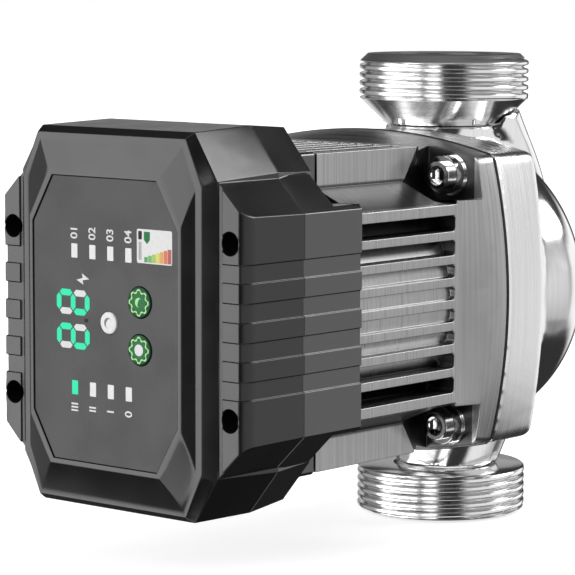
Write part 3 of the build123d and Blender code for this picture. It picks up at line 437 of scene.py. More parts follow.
# Painted glow: the unlit lamp windows shine by themselves so they read bright white.
LAMP_WHITE_PAINTED_GLOW = print_ink("lamp_white", (0.44, 0.44, 0.44), glow=0.35)
GREEN_CAP_PAINTED_GLOW = painted_glow_button_material()
# Painted glow: the printed green lines on the buttons shine by themselves.
PALE_GREEN_PAINTED_GLOW = print_ink("pale_green_line_painted_glow", (0.2, 0.4, 0.17), glow=0.6)
WHITE_CAP = print_ink("white_button", (0.55, 0.55, 0.55), roughness=0.35)
SOFT_GREY_INK = print_ink("grey_ink", (0.14, 0.145, 0.15))
BLACK_INK = print_ink("black_ink", (0.006, 0.006, 0.006))
LABEL_GREEN = print_ink("label_green", (0.006, 0.12, 0.035))

BY_SLOT = {
    "stainless_housing": HOUSING_STEEL,
    "turned_steel": TURNED_STEEL,
    "motor_casting": ALUMINIUM,
    "screw_steel": CHROME,
    "black_plastic": PLASTIC,
    "panel_film": FILM,
    "display_black": DARK_PLASTIC,
    "lamp_white": LAMP_WHITE_PAINTED_GLOW,
    "button_green": GREEN_CAP_PAINTED_GLOW,
    "button_white": WHITE_CAP,
    "rubber_seal": RUBBER,
    "thin_steel": THIN_STEEL,
    "ceramic_shaft": print_ink("white_ceramic", (0.8, 0.78, 0.72), roughness=0.15),
    "carbon_bearing": moulded_plastic("carbon_bearing", 0.02, 0.3),
    "magnet": moulded_plastic("coated_magnet", 0.05, 0.4),
    "lamination": lamination_material(),
    "copper_winding": copper_material(),
    "impeller_plastic": moulded_plastic("impeller_plastic", 0.08, 0.4, tint=(0.75, 0.85, 1.1)),
    "insulation": print_ink("insulation", (0.75, 0.72, 0.6), roughness=0.5),
    "circuit_board": board_material(),
    "component_black": DARK_PLASTIC,
    "component_grey": print_ink("component_grey", (0.25, 0.26, 0.27), roughness=0.45),
    "contact_brass": brushed_metal("contact_brass", 0.7, 0.25, along="Z", tint=(1.0, 0.78, 0.4)),
}


# ---------------------------------------------------------------- mesh helpers

def shade(mesh, crease=35.0):
    """Smooth shading with sharp edges where faces meet at more than the crease angle."""
    for polygon in mesh.polygons:
        polygon.use_smooth = True
    mesh.set_sharp_from_angle(angle=math.radians(crease))


def add_piece(name, mesh, materials, body="pump", replaces=()):
    """Links a mesh as a piece of the object, riding on a body."""
    piece = bpy.data.objects.new(name, mesh)
    bpy.context.scene.collection.objects.link(piece)
    mesh.materials.clear()
    for finish in materials:
        mesh.materials.append(finish)
    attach(piece, body)
    if replaces:
        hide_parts(*replaces)
    return piece


def mesh_from(builder, name, crease=35.0):
    """A mesh in the frame from a bmesh made in millimetres about the shaft."""
    mesh = bpy.data.meshes.new(name)
    builder.transform(INTO_FRAME)
    bmesh.ops.recalc_face_normals(builder, faces=builder.faces)
    builder.to_mesh(mesh)
    builder.free()
    shade(mesh, crease)
    return mesh


def baked(source, name):
    """The mesh of an object with its modifiers applied; the object is then removed."""
    bpy.context.view_layer.update()
    evaluated = source.evaluated_get(bpy.context.evaluated_depsgraph_get())
    mesh = bpy.data.meshes.new_from_object(evaluated)
    mesh.name = name
    mesh.transform(source.matrix_world)
    bpy.data.objects.remove(source)
    return mesh


def narrow_side(face):
    """How wide a face is across its longest edge, in millimetres."""
    return face.calc_area() / max(edge.calc_length() for edge in face.edges) / MM


def is_bend(edge, crease, fold, wide):
    """True for a real edge of the shape; a curved surface's own facets are left out."""
    if len(edge.link_faces) != 2:
        return False
    angle = math.degrees(edge.calc_face_angle(0.0))
    if angle > crease:
        return True
    return angle > fold and all(narrow_side(face) > wide for face in edge.link_faces)


def edged_copy(node, width, segments=2, crease=26.0, fold=5.0, wide=4.0):
    """A CAD node's shape with its edges rounded; the rounding is material 1."""
    shape = bmesh.new()
    shape.from_mesh(frame["nodes"][node].data)
    bmesh.ops.remove_doubles(shape, verts=shape.verts, dist=0.000002)
    bmesh.ops.dissolve_limit(shape, angle_limit=math.radians(0.25), verts=shape.verts, edges=shape.edges)
    for face in shape.faces:
        face.material_index = 0
    bends = [edge for edge in shape.edges if is_bend(edge, crease, fold, wide)]
    bmesh.ops.bevel(shape, geom=bends, offset=width * MM, segments=segments, profile=0.5, affect="EDGES",
                    clamp_overlap=False, material=1)
    bmesh.ops.triangulate(shape, faces=[face for face in shape.faces if len(face.verts) > 4])
    mesh = bpy.data.meshes.new(node + "_bevelled")
    shape.to_mesh(mesh)
    shape.free()
    shade(mesh, 50.0)
    holder = bpy.data.objects.new(node + "_bevelled", mesh)
    bpy.context.scene.collection.objects.link(holder)
    even = holder.modifiers.new("even_normals", "WEIGHTED_NORMAL")
    even.keep_sharp = True
    even.weight = 100
    edged = baked(holder, node + "_edged")
    bpy.data.meshes.remove(mesh)
    return edged


def remeshed_copy(node, voxel, rounds):
    """A CAD node's shape with its joins flowed together: remeshed finely, then smoothed."""
    source = bpy.data.objects.new(node + "_source", frame["nodes"][node].data.copy())
    bpy.context.scene.collection.objects.link(source)
    remesh = source.modifiers.new("remesh", "REMESH")
    remesh.mode = "VOXEL"
    remesh.voxel_size = voxel * MM
    smooth = source.modifiers.new("smooth", "SMOOTH")
    smooth.factor = 0.5
    smooth.iterations = rounds
    mesh = baked(source, node + "_flowed")
    for polygon in mesh.polygons:
        polygon.use_smooth = True
    return mesh


def join_rings(shape, rings):
    """Faces between neighbouring closed rings, and from the last ring back to the first."""
    count = len(rings[0])
    for ring, following in zip(rings, rings[1:] + rings[:1]):
        for index in range(count):
            after = (index + 1) % count
            shape.faces.new((ring[index], following[index], following[after], ring[after]))


def lathe(shape, profile, turns, centre):
    """Adds a closed (radius, place along Y) profile, spun about a line along Y, to a bmesh."""
    rings = []
    for step in range(turns):
        angle = 2 * math.pi * step / turns
        rings.append([shape.verts.new((centre[0] + radius * math.cos(angle), along,
                                       centre[1] + radius * math.sin(angle)))
                      for radius, along in profile])
    join_rings(shape, rings)


# ---------------------------------------------------------------- threaded ports

THREAD_PITCH = 25.4 / 11
THREAD_DEPTH = 1.48
THREAD_LENGTH = 12.7
GROOVE_SHARPNESS = 3.2
RUN_OUT = 0.8
FACE_R = 21.7
BORE_R = 13.5
NECK_R = 16.5
COLLAR_LENGTH = COLLAR_TOP - BOTTOM_FACE
UPPER_LEAD = 1.05
LOWER_LEAD = 3.0
LUG_SIZE = (2.2, 2.0, 3.7)
LUG_ANGLES = (-162, -95, -21)


def thread_radius(depth_in, turn, lead):
    """Radius of the thread at a depth from the face and a share of a turn; lead is the chamfer's slope."""
    phase = depth_in / THREAD_PITCH - turn
    groove = (0.5 - 0.5 * math.cos(2 * math.pi * phase)) ** GROOVE_SHARPNESS
    run_out = min(1.0, max(0.0, (THREAD_LENGTH - depth_in) / RUN_OUT))
    cut = THREAD_R - THREAD_DEPTH * groove * run_out
    lead_in = FACE_R + max(0.0, depth_in - 0.15) * lead
    return min(cut, lead_in)


def threaded_port(face, toward, tail, lead, turns=180, rows=84):
    """A collar with a helical thread; tail is the rest of its (radius, depth) outline to the bore."""
    shape = bmesh.new()
    rings = []
    for step in range(turns):
        turn = step / turns
        angle = 2 * math.pi * turn
        outline = [(BORE_R + 0.4, 0.0), (FACE_R - 0.2, 0.0)]
        for row in range(rows + 1):
            depth_in = 0.12 + (COLLAR_LENGTH - 0.7) * row / rows
            outline.append((thread_radius(depth_in, turn, lead), depth_in))
        outline += tail + [(BORE_R, 0.4)]
        x, y = math.cos(angle), math.sin(angle)
        rings.append([shape.verts.new((radius * x, radius * y, face - toward * depth))
                      for radius, depth in outline])
    join_rings(shape, rings)
    return shape


def rounded_block(shape, matrix, size, bevel):
    """Adds a block with softened edges to a bmesh."""
    made = bmesh.ops.create_cube(shape, size=1.0, matrix=matrix @ Matrix.Diagonal((*size, 1.0)))
    edges = {edge for vert in made["verts"] for edge in vert.link_edges}
    bmesh.ops.bevel(shape, geom=list(edges), offset=bevel, segments=3, profile=0.5, affect="EDGES")


def port_piece(shape, name, node):
    """Adds a threaded port, its bore in shaded steel."""
    mesh = mesh_from(shape, name, 40)
    for polygon in mesh.polygons:
        if math.hypot(polygon.center.x, polygon.center.y) < (BORE_R + 0.15) * MM:
            polygon.material_index = 1
    add_piece(name, mesh, [TURNED_STEEL, BORE_STEEL], replaces=[node])


def build_ports():
    """The upper port with its cone and lugs, and the lower port."""
    collar_end = [(THREAD_R - 0.1, COLLAR_LENGTH - 0.4), (THREAD_R - 0.6, COLLAR_LENGTH)]
    neck_depth = TOP_FACE - CONE_FOOT
    cone = [(NECK_R + 0.9, neck_depth - 1.0), (NECK_R + 0.3, neck_depth - 0.4), (NECK_R, neck_depth),
            (BORE_R, neck_depth)]
    upper = threaded_port(TOP_FACE, 1, collar_end + cone, UPPER_LEAD)
    for degrees in LUG_ANGLES:
        turned = Matrix.Rotation(math.radians(degrees), 4, "Z")
        spot = turned @ Matrix.Translation((NECK_R + 0.6, 0, CONE_FOOT + 1.9))
        rounded_block(upper, spot, LUG_SIZE, 0.5)
    port_piece(upper, "upper_port", "inlet_threaded_end")
    lower = threaded_port(BOTTOM_FACE, -1, collar_end + [(BORE_R, COLLAR_LENGTH)], LOWER_LEAD)
    port_piece(lower, "lower_port", "outlet_threaded_end")


# ---------------------------------------------------------------- flange screws

SCREW_REACH = 33.5
SCREW_TIP, COLLAR_BACK, HEAD_BACK, HEAD_FRONT = -22.0, -40.4, -44.2, -46.4
SHANK_R, COLLAR_R, HEAD_R = 2.4, 5.1, 3.7
SOCKET_MOUTH_R = 2.62
SOCKET_HALF_W = 2.0
SOCKET_DEPTH = 2.3


def screw_places():
    """Where the four screws stand, across and up."""
    return [(sx * SCREW_REACH, sz * SCREW_REACH) for sx in (-1, 1) for sz in (-1, 1)]


def socket_screw(shape, x, z):
    """A collar screw with a hexagon socket, its axis along Y and its head towards the panel."""
    outline = [(SHANK_R, SCREW_TIP), (SHANK_R, COLLAR_BACK), (COLLAR_R - 0.1, COLLAR_BACK),
               (COLLAR_R, COLLAR_BACK - 0.1), (COLLAR_R, HEAD_BACK + 0.15), (COLLAR_R - 0.15, HEAD_BACK),
               (HEAD_R, HEAD_BACK), (HEAD_R, HEAD_FRONT + 0.15), (HEAD_R - 0.15, HEAD_FRONT),
               (SOCKET_MOUTH_R, HEAD_FRONT), (SOCKET_MOUTH_R - 0.17, HEAD_FRONT + 0.2)]
    turns = 48
    rings = []
    for step in range(turns):
        angle = 2 * math.pi * step / turns
        sector = (angle + math.pi / 6) % (math.pi / 3) - math.pi / 6
        hexagon = SOCKET_HALF_W / math.cos(sector)
        socket = [(hexagon, HEAD_FRONT + 0.45), (hexagon, HEAD_FRONT + SOCKET_DEPTH - 0.2)]
        rings.append([shape.verts.new((x + r * math.cos(angle), y, z + r * math.sin(angle)))
                      for r, y in outline + socket])
    socket_floor = shape.verts.new((x, HEAD_FRONT + SOCKET_DEPTH, z))
    tip = shape.verts.new((x, SCREW_TIP, z))
    for ring, following in zip(rings, rings[1:] + rings[:1]):
        for index in range(len(ring) - 1):
            shape.faces.new((ring[index], ring[index + 1], following[index + 1], following[index]))
        shape.faces.new((ring[-1], socket_floor, following[-1]))
        shape.faces.new((ring[0], following[0], tip))


def build_screws():
    """The four flange screws: bright sockets, plated collars and darker head rings."""
    shape = bmesh.new()
    for x, z in screw_places():
        socket_screw(shape, x, z)
    mesh = mesh_from(shape, "flange_bolts", 38)
    for polygon in mesh.polygons:
        x, y, z = (polygon.center - Vector((0, 0, SHAFT_Z))) / MM
        from_axis = min(math.hypot(x - screw_x, z - screw_z) for screw_x, screw_z in screw_places())
        if from_axis > SOCKET_MOUTH_R + 0.08:
            polygon.material_index = 2 if y < HEAD_FRONT + 0.2 else 1
    add_piece("flange_bolts", mesh, [CHROME, PLATED, KNURLED], replaces=["flange_screws"])


# ---------------------------------------------------------------- shells

def build_shells():
    """The large CAD parts again, with rounded edges or, for the pump housing, with flowing joins."""
    cover = edged_copy("front_cover", 0.22)
    add_piece("cover_shell", cover, [PLASTIC, PLASTIC], replaces=["front_cover"])
    base = edged_copy("box_base", 0.22)
    add_piece("base_shell", base, [BASE_PLASTIC, BASE_PLASTIC], replaces=["box_base"])
    motor = edged_copy("motor_housing", 0.18)
    # The casting's rounded edges carry a painted highlight.
    add_piece("finned_casting", motor, [ALUMINIUM, EDGE_HIGHLIGHT], replaces=["motor_housing"])
    housing = remeshed_copy("pump_housing", 0.8, 6)
    add_piece("steel_pump_body", housing, [HOUSING_STEEL], replaces=["pump_housing"])


# The bulging square that the flange and the housing band share: its corners, and how far its sides bulge.
BARREL_CORNER_X, BARREL_CORNER_Z = 42.5, 38.5
BARREL_SIDE_X, BARREL_SIDE_Z = 47.8, 44.0


def barrel_outline(inset, steps=28):
    """Points round the bulging square, at an inset from its edge."""
    corner_x, corner_z = BARREL_CORNER_X - inset, BARREL_CORNER_Z - inset
    points = []
    for index in range(4 * steps):
        side, share = divmod(index, steps)
        across = 2 * (share + 0.5) / steps - 1
        if side % 2 == 0:
            bulge = BARREL_SIDE_Z - BARREL_CORNER_Z
            place = (across * corner_x, corner_z + bulge * (1 - across * across))
        else:
            bulge = BARREL_SIDE_X - BARREL_CORNER_X
            place = (corner_x + bulge * (1 - across * across), -across * corner_z)
        if side >= 2:
            place = (-place[0], -place[1])
        points.append(place)
    return points


def build_seal():
    """The thin black seal that shows in the joint between motor flange and pump housing."""
    shape = bmesh.new()
    profile = [(-0.15, -0.4), (-0.15, 0.35), (2.0, 0.35), (2.0, -0.4)]
    loops = [[shape.verts.new((x, FLANGE_JOINT + along, z)) for x, z in barrel_outline(inset)]
             for inset, along in profile]
    join_rings(shape, loops)
    add_piece("flange_seal", mesh_from(shape, "flange_seal"), [RUBBER])


# ---------------------------------------------------------------- the panel

ONTO_PANEL = Matrix(((1, 0, 0, 0), (0, 0, -1, 0), (0, 1, 0, 0), (0, 0, 0, 1)))


def octagon(half_w, half_h, top_half, side_half):
    """A rectangle with cut corners; top_half and side_half are where its straight sides end."""
    quarter = [(top_half, half_h), (half_w, side_half)]
    right = quarter + [(x, -z) for x, z in reversed(quarter)]
    return right + [(-x, -z) for x, z in right]


def circle(x, z, radius, steps=48):
    """A circle's outline."""
    return [(x + radius * math.cos(2 * math.pi * i / steps), z + radius * math.sin(2 * math.pi * i / steps))
            for i in range(steps)]


def rectangle(x0, x1, z0, z1, corner=0.0):
    """A rectangle's outline, its corners rounded."""
    if not corner:
        return [(x0, z0), (x1, z0), (x1, z1), (x0, z1)]
    points = []
    for cx, cz, start in ((x1 - corner, z1 - corner, 0), (x0 + corner, z1 - corner, 90),
                          (x0 + corner, z0 + corner, 180), (x1 - corner, z0 + corner, 270)):
        for step in range(5):
            angle = math.radians(start + 22.5 * step)
            points.append((cx + corner * math.cos(angle), cz + corner * math.sin(angle)))
    return points


def flat_mesh(name, outlines, front, thickness, soften=0.0):
    """A flat plate facing the panel's reader, its front at a place along Y. Inner outlines are holes."""
    curve = bpy.data.curves.new(name, "CURVE")
    curve.dimensions = "2D"
    curve.fill_mode = "BOTH"
    curve.extrude = thickness / 2 - soften
    curve.bevel_depth = soften
    curve.bevel_resolution = 1
    curve.offset = -soften
    for outline in outlines:
        spline = curve.splines.new("POLY")
        spline.points.add(len(outline) - 1)
        for point, (x, z) in zip(spline.points, outline):
            point.co = (x, z, 0, 1)
        spline.use_cyclic_u = True
    holder = bpy.data.objects.new(name, curve)
    bpy.context.scene.collection.objects.link(holder)
    holder.matrix_world = INTO_FRAME @ Matrix.Translation((0, front + thickness / 2, 0)) @ ONTO_PANEL
    mesh = baked(holder, name)
    bpy.data.curves.remove(curve)
    shade(mesh)
    return mesh


INK = 0.05


def mark(name, outlines, finish, lift=0.03, body="pump", front=None):
    """A thin mark on the film, or on a button's cap."""
    base = FILM_FRONT if front is None else front
    mesh = flat_mesh(name, outlines, base - lift, INK)
    return add_piece(name, mesh, [finish], body=body)


# The panel film: half its width and height, and where its straight top and side edges end.
OVERLAY_OUTLINE = (24.8, 35.9, 17.8, 24.0)
OVERLAY_THICKNESS = 0.4
BUTTON_GAP = 0.12


def build_overlay():
    """One film over the whole panel, with holes only for the buttons."""
    outlines = [octagon(*OVERLAY_OUTLINE)]
    outlines += [circle(x, z, radius + BUTTON_GAP) for x, z, radius in BUTTONS.values()]
    mesh = flat_mesh("panel_overlay", outlines, FILM_FRONT, OVERLAY_THICKNESS, soften=0.06)
    add_piece("panel_overlay", mesh, [FILM], replaces=["display_film"])


def bar_segment(x0, z0, x1, z1, half):
    """A display segment: a bar with pointed ends between two places."""
    along = Vector((x1 - x0, z1 - z0)).normalized()
    side = Vector((-along.y, along.x)) * half
    start, end = Vector((x0, z0)), Vector((x1, z1))
    tip = along * half
    corners = [start, start + tip + side, end - tip + side, end, end - tip - side, start + tip - side]
    return [tuple(corner) for corner in corners]


# The figures lie on their side: their top, middle and bottom bars stand at places along X.
BAR_XS = (-15.9, -10.95, -6.0)
DIGIT_STARTS = (-7.6, 1.0)
DIGIT_EDGES = (0.9, 5.6)
BAR_HALF_WIDTH = 0.82
BAR_GAP = 0.24


def digit_segments(base_z):
    """The seven segments of one figure that reads upwards, split into coloured and white ones."""
    top, middle, bottom = BAR_XS
    low, high = (base_z + edge for edge in DIGIT_EDGES)
    half, gap = BAR_HALF_WIDTH, BAR_GAP
    coloured = [bar_segment(x, low + gap, x, high - gap, half) for x in BAR_XS]
    coloured.append(bar_segment(top + gap, high, middle - gap, high, half))
    coloured.append(bar_segment(middle + gap, low, bottom - gap, low, half))
    white = [bar_segment(top + gap, low, middle - gap, low, half),
             bar_segment(middle + gap, high, bottom - gap, high, half)]
    return coloured, white


def build_display():
    """The two figures, the decimal point and the lightning bolt beside them."""
    coloured, white = [], []
    for base_z in DIGIT_STARTS:
        first, second = digit_segments(base_z)
        coloured += first
        white += second
    mark("display_segments_lit", coloured, TEAL_LIGHT)
    mark("display_segments_plain", white, WHITE_INK_PAINTED_GLOW)
    mark("decimal_point", [rectangle(-7.0, -5.7, -0.5, 0.4, 0.2)], BLACK_INK)
    bolt = [(-9.7, 10.0), (-7.3, 8.9), (-7.6, 10.0), (-5.3, 10.4), (-7.8, 11.7), (-7.5, 10.6)]
    mark("power_symbol", [bolt], WHITE_INK_PAINTED_GLOW)


LAMP_XS = (-10.4, -4.1, 2.1, 8.3)
LAMP_Z = 17.3
LAMP_HALF_W = 1.05
LAMP_HALF_H = 1.775
NUMBER_SIZE = 3.3
UPPER_NUMBER_Z = 21.9
LOWER_NUMBER_Z = -22.3


def build_lamps():
    """The eight lamp windows: the first one below the display is lit, and the others carry a painted glow."""
    lit, plain = [], []
    for x in LAMP_XS:
        for z in (-LAMP_Z, LAMP_Z):
            outline = rectangle(x - LAMP_HALF_W, x + LAMP_HALF_W, z - LAMP_HALF_H, z + LAMP_HALF_H, 0.2)
            if x == LAMP_XS[0] and z < 0:
                lit.append(outline)
            else:
                plain.append(outline)
    mark("mode_lamp_lit", lit, TEAL_LIGHT)
    # The unlit windows carry a painted glow.
    mark("mode_lamps", plain, LAMP_WHITE_PAINTED_GLOW)


def text_mesh(body, size, x, z):
    """Numerals that read upwards on the panel, centred on a place."""
    curve = bpy.data.curves.new("numeral", "FONT")
    curve.body = body
    curve.size = size
    curve.align_x = "CENTER"
    curve.align_y = "CENTER"
    curve.extrude = INK / 2
    curve.offset = 0.05
    holder = bpy.data.objects.new("numeral", curve)
    bpy.context.scene.collection.objects.link(holder)
    upright = Matrix(((0, -1, 0, x), (0, 0, -1, FILM_FRONT - 0.01), (1, 0, 0, z), (0, 0, 0, 1)))
    holder.matrix_world = INTO_FRAME @ upright
    mesh = baked(holder, "numeral")
    bpy.data.curves.remove(curve)
    return mesh


def build_numbers():
    """A number beside each lamp window."""
    shape = bmesh.new()
    for x, upper, lower in zip(LAMP_XS, ("01", "02", "03", "04"), ("III", "II", "I", "0")):
        for body, z in ((upper, UPPER_NUMBER_Z), (lower, LOWER_NUMBER_Z)):
            mesh = text_mesh(body, NUMBER_SIZE, x, z)
            shape.from_mesh(mesh)
            bpy.data.meshes.remove(mesh)
    mesh = bpy.data.meshes.new("panel_numbers")
    shape.to_mesh(mesh)
    shape.free()
    add_piece("panel_numbers", mesh, [WHITE_INK_PAINTED_GLOW])


# The energy card's left, right, lower and upper edge.
CARD = (11.2, 23.0, 15.7, 24.1)
CARD_BARS = 7
ON_CARD = 0.06


def build_label():
    """A plain energy card: a scale of coloured bars and an arrow, with no words."""
    x0, x1, z0, z1 = CARD
    mark("energy_card", [rectangle(x0, x1, z0, z1, 0.5)], WHITE_INK_PAINTED_GLOW)
    start, end = x0 + 2.4, x1 - 0.2
    pitch = (end - start) / CARD_BARS
    bars = [rectangle(start + i * pitch + 0.1, start + (i + 1) * pitch - 0.05, z0 + 0.3, z0 + 1.6 + 0.38 * i)
            for i in range(CARD_BARS)]
    mark("energy_bars", bars, energy_bars_material(start, end), lift=ON_CARD)
    block = rectangle(x0 + 0.5, x0 + 1.7, z1 - 2.6, z1 - 0.5, 0.2)
    mark("card_block", [block], BLACK_INK, lift=ON_CARD)
    left, right, top, foot = x0 + 2.4, x0 + 4.4, z1 - 0.6, z1 - 2.6
    arrow = [(left, top), (right, top), (right, foot), (x0 + 3.4, z1 - 3.6), (left, foot)]
    mark("card_arrow", [arrow], LABEL_GREEN, lift=ON_CARD)
    lines = [rectangle(x0 + 0.7 + 0.55 * i, x0 + 0.95 + 0.55 * i, z0 + 0.8, z1 - 3.2) for i in range(2)]
    mark("card_lines", lines, SOFT_GREY_INK, lift=ON_CARD)


GEAR_R = 2.85
GEAR_TOOTH = 0.33
GEAR_LINE = 0.42
GEAR_TEETH = 8


def gear_ring(x, z, steps=96):
    """Outer and inner outline of a gear drawn as a line."""
    loops = []
    for offset in (GEAR_LINE / 2, -GEAR_LINE / 2):
        loop = []
        for i in range(steps):
            angle = 2 * math.pi * i / steps
            wave = math.tanh(2.2 * math.cos(GEAR_TEETH * angle))
            radius = GEAR_R + GEAR_TOOTH * wave + offset
            loop.append((x + radius * math.cos(angle), z + radius * math.sin(angle)))
        loops.append(loop)
    return loops


def crescent(x, z, radius, bite, turn, steps=20):
    """A moon shape: one arc outwards and a flatter one back."""
    points = []
    for i in range(steps + 1):
        angle = math.radians(-110 + 220 * i / steps)
        points.append((radius * math.cos(angle), radius * math.sin(angle)))
    for i in range(steps + 1):
        angle = math.radians(110 - 220 * i / steps)
        points.append((bite * radius * math.cos(angle) - 0.12 * radius, radius * math.sin(angle) * 0.93))
    tilt = math.radians(turn)
    return [(x + px * math.cos(tilt) - pz * math.sin(tilt), z + px * math.sin(tilt) + pz * math.cos(tilt))
            for px, pz in points]


# A button's collar and stem behind its cap: places along Y, and how far they reach.
COLLAR_Y = (-135.6, -134.6)
COLLAR_RIM = 0.7
STEM_BACK = -133.4
STEM_R = 1.5
POLE_R = 0.001


def build_button(name, finish):
    """A cap with a rounded rim, its collar and its stem."""
    x, z, radius = BUTTONS[name]
    front = node_range(name, 1)[0]
    collar_front, collar_back = COLLAR_Y
    profile = [(POLE_R, front), (radius - 0.8, front), (radius - 0.32, front + 0.04),
               (radius - 0.1, front + 0.16), (radius, front + 0.42),
               (radius, collar_front), (radius + COLLAR_RIM, collar_front),
               (radius + COLLAR_RIM, collar_back), (STEM_R, collar_back),
               (STEM_R, STEM_BACK), (POLE_R, STEM_BACK)]
    shape = bmesh.new()
    lathe(shape, profile, turns=64, centre=(x, z))
    add_piece(name + "_cap", mesh_from(shape, name + "_cap", 32), [finish], body=name, replaces=[name])
    return x, z, front


def build_gear_button(side):
    """A green cap with a gear drawn on it."""
    name = "button_" + side
    x, z, front = build_button(name, GREEN_CAP_PAINTED_GLOW)
    mark("gear_line_" + side, gear_ring(x, z), PALE_GREEN_PAINTED_GLOW, body=name, front=front)
    return x, z, front


def build_buttons():
    """The two green buttons with a moon and a sun, and the white one with a larger moon."""
    x, z, front = build_gear_button("upper")
    moon = crescent(x, z, 1.2, 0.35, 160)
    mark("moon_upper", [moon], PALE_GREEN_PAINTED_GLOW, body="button_upper", front=front)
    x, z, front = build_gear_button("lower")
    mark("sun_lower", [circle(x, z, 1.45)], WHITE_INK_PAINTED_GLOW, body="button_lower", front=front)
    x, z, front = build_button("button_centre", WHITE_CAP)
    moon = crescent(x, z, 1.35, 0.55, 150)
    mark("moon_centre", [moon], SOFT_GREY_INK, body="button_centre", front=front)


# ---------------------------------------------------------------- carried-over nodes

def finish_nodes():
    """Every CAD node gets the procedural material of its slot in the record."""
    slot_of = {part["node"]: part["material_slot"] for part in frame["record"]["subparts"]}
    for name, node in frame["nodes"].items():
        slot = slot_of[name]
        node.data.materials.clear()
        node.data.materials.append(BY_SLOT[slot])


# ---------------------------------------------------------------- studio

class Sky:
    """The studio's light: soft boxes round the object, each a window in azimuth and elevation."""

    def __init__(self):
        world = bpy.data.worlds.new("studio")
        bpy.context.scene.world = world
        world.use_nodes = True
        self.tree = world.node_tree
        self.background = self.tree.nodes["Background"]
        self.background.inputs["Color"].default_value = (1, 1, 1, 1)
        direction = self.tree.nodes.new("ShaderNodeTexCoord").outputs["Generated"]
        split = self.tree.nodes.new("ShaderNodeSeparateXYZ")
        self.tree.links.new(direction, split.inputs["Vector"])
        x, y, z = split.outputs
        front = self.maths("MULTIPLY", y, -1.0)
        self.azimuth = self.maths("ARCTAN2", x, front)
        self.elevation = self.maths("ARCSINE", z)
        self.total = None

    def maths(self, operation, first, second=None):
        """A sum, product or other maths on values or plain numbers."""
        return maths_node(self.tree, operation, first, second)

    def rise(self, value, low, high):
        """0 below low and 1 above high, in degrees, smooth between."""
        return remap_node(self.tree, value, 0.0, 1.0, math.radians(low), math.radians(high))

    def window(self, value, low, high, soft):
        """1 between low and high, in degrees, falling to 0 over twice the softness."""
        opening = self.rise(value, low - soft, low + soft)
        closing = self.rise(value, high - soft, high + soft)
        return self.maths("SUBTRACT", opening, closing)

    def soft_box(self, azimuth, elevation, soft, strength):
        """Adds a lit window; azimuth 0 is in front of the panel and 90 is to its reader's right."""
        across = self.window(self.azimuth, *azimuth, soft)
        upright = self.window(self.elevation, *elevation, soft)
        light = self.maths("MULTIPLY", self.maths("MULTIPLY", across, upright), strength)
        self.total = light if self.total is None else self.maths("ADD", self.total, light)

    def finish(self, base):
        """Joins the windows, and a weak even light, to the background."""
        level = self.maths("ADD", self.total, base)
        self.tree.links.new(level, self.background.inputs["Strength"])


# Azimuth window, elevation window, softness (all in degrees) and strength of each soft box.
SOFT_BOXES = [
    ((-57, 4), (-25, 42), 5, 4.1),
    ((-98, -57), (-25, 42), 5, 0.4),
    ((14, 31), (-25, 46), 4, 3.2),
    ((72, 148), (-24, 40), 7, 1.0),
    ((128, 162), (20, 46), 2, 7.0),
    ((152, 190), (-20, 14), 5, 1.2),
    ((-190, -168), (-20, 14), 5, 1.2),
    ((-152, -120), (2, 20), 3, 0.38),
    ((-150, -110), (-24, 0), 5, 0.8),
    ((-190, 190), (60, 95), 8, 0.8),
    ((-190, 190), (-95, -58), 6, 1.4),
]
EVEN_LIGHT = 0.04


def build_light():
    """The studio's soft boxes and its weak even light."""
    sky = Sky()
    for azimuth, elevation, soft, strength in SOFT_BOXES:
        sky.soft_box(azimuth, elevation, soft, strength)
    sky.finish(EVEN_LIGHT)


FLOOR_R = 4.0
FLOOR_Z = -0.0004
FLOOR_GLOW = 0.7
BACKDROP_R = 5.0


def stage_surface(name, shape, paint):
    """A surface of the studio from a bmesh, linked into the scene."""
    mesh = bpy.data.meshes.new(name)
    shape.to_mesh(mesh)
    shape.free()
    mesh.materials.append(paint.material)
    surface = bpy.data.objects.new(name, mesh)
    bpy.context.scene.collection.objects.link(surface)
    return surface


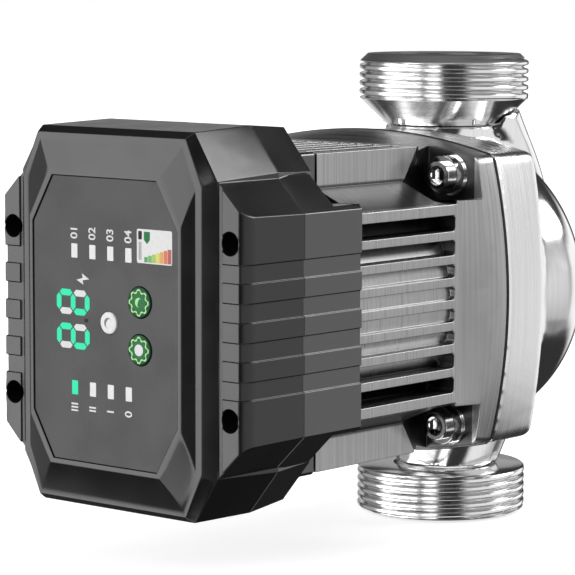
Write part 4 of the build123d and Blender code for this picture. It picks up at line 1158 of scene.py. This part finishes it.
def build_stage():
    """A pale floor, and a white backdrop that only the camera sees."""
    paint = Paint("pale_floor", (0.6, 0.6, 0.6), roughness=0.8)
    grain = paint.noise((40, 40, 40), detail=3.0)
    paint.colour(paint.ramp(grain, [(0.3, 0.58), (0.7, 0.62)]))
    paint.glow((1, 1, 1), FLOOR_GLOW)
    shape = bmesh.new()
    bmesh.ops.create_circle(shape, cap_ends=True, segments=96, radius=FLOOR_R)
    floor = stage_surface("floor", shape, paint)
    floor.location.z = FLOOR_Z
    floor.visible_glossy = False
    floor.visible_diffuse = False

    white = Paint("white_backdrop", (0, 0, 0), roughness=1.0)
    white.glow((1, 1, 1), 1.0)
    shape = bmesh.new()
    bmesh.ops.create_uvsphere(shape, u_segments=48, v_segments=24, radius=BACKDROP_R)
    backdrop = stage_surface("backdrop", shape, white)
    for ray in ("diffuse", "glossy", "transmission", "volume_scatter", "shadow"):
        setattr(backdrop, "visible_" + ray, False)


# The photo's camera, fitted to the object's known sizes: angles in degrees and lengths in metres.
CAMERA_AZIMUTH = 40.61
CAMERA_ELEVATION = 6.30
CAMERA_ROLL = 0.16
CAMERA_DISTANCE = 0.7637
CAMERA_AIM = (0.0, -0.0677, SHAFT_Z + 0.0030)
CAMERA_LENS_MM = 179.0
CAMERA_SENSOR_MM = 36.0


def build_camera():
    """The camera that took the photo."""
    azimuth, elevation = math.radians(CAMERA_AZIMUTH), math.radians(CAMERA_ELEVATION)
    aim = Vector(CAMERA_AIM)
    level = math.cos(elevation)
    back = Vector((math.sin(azimuth) * level, -math.cos(azimuth) * level, math.sin(elevation)))
    right = Vector((0, 0, 1)).cross(back).normalized()
    up = back.cross(right)
    roll = Matrix.Rotation(math.radians(CAMERA_ROLL), 3, "Z")
    turned = Matrix((right, up, back)).transposed() @ roll
    data = bpy.data.cameras.new("camera")
    data.lens = CAMERA_LENS_MM
    data.sensor_width = CAMERA_SENSOR_MM
    data.clip_start = 0.05
    data.clip_end = 50.0
    camera = bpy.data.objects.new("camera", data)
    camera.matrix_world = Matrix.Translation(aim + back * CAMERA_DISTANCE) @ turned.to_4x4()
    bpy.context.scene.collection.objects.link(camera)
    bpy.context.scene.camera = camera


bpy.context.scene.view_settings.view_transform = "Standard"
finish_nodes()
build_shells()
build_ports()
build_screws()
build_seal()
build_overlay()
build_display()
build_lamps()
build_numbers()
build_label()
build_buttons()
build_light()
build_stage()
build_camera()
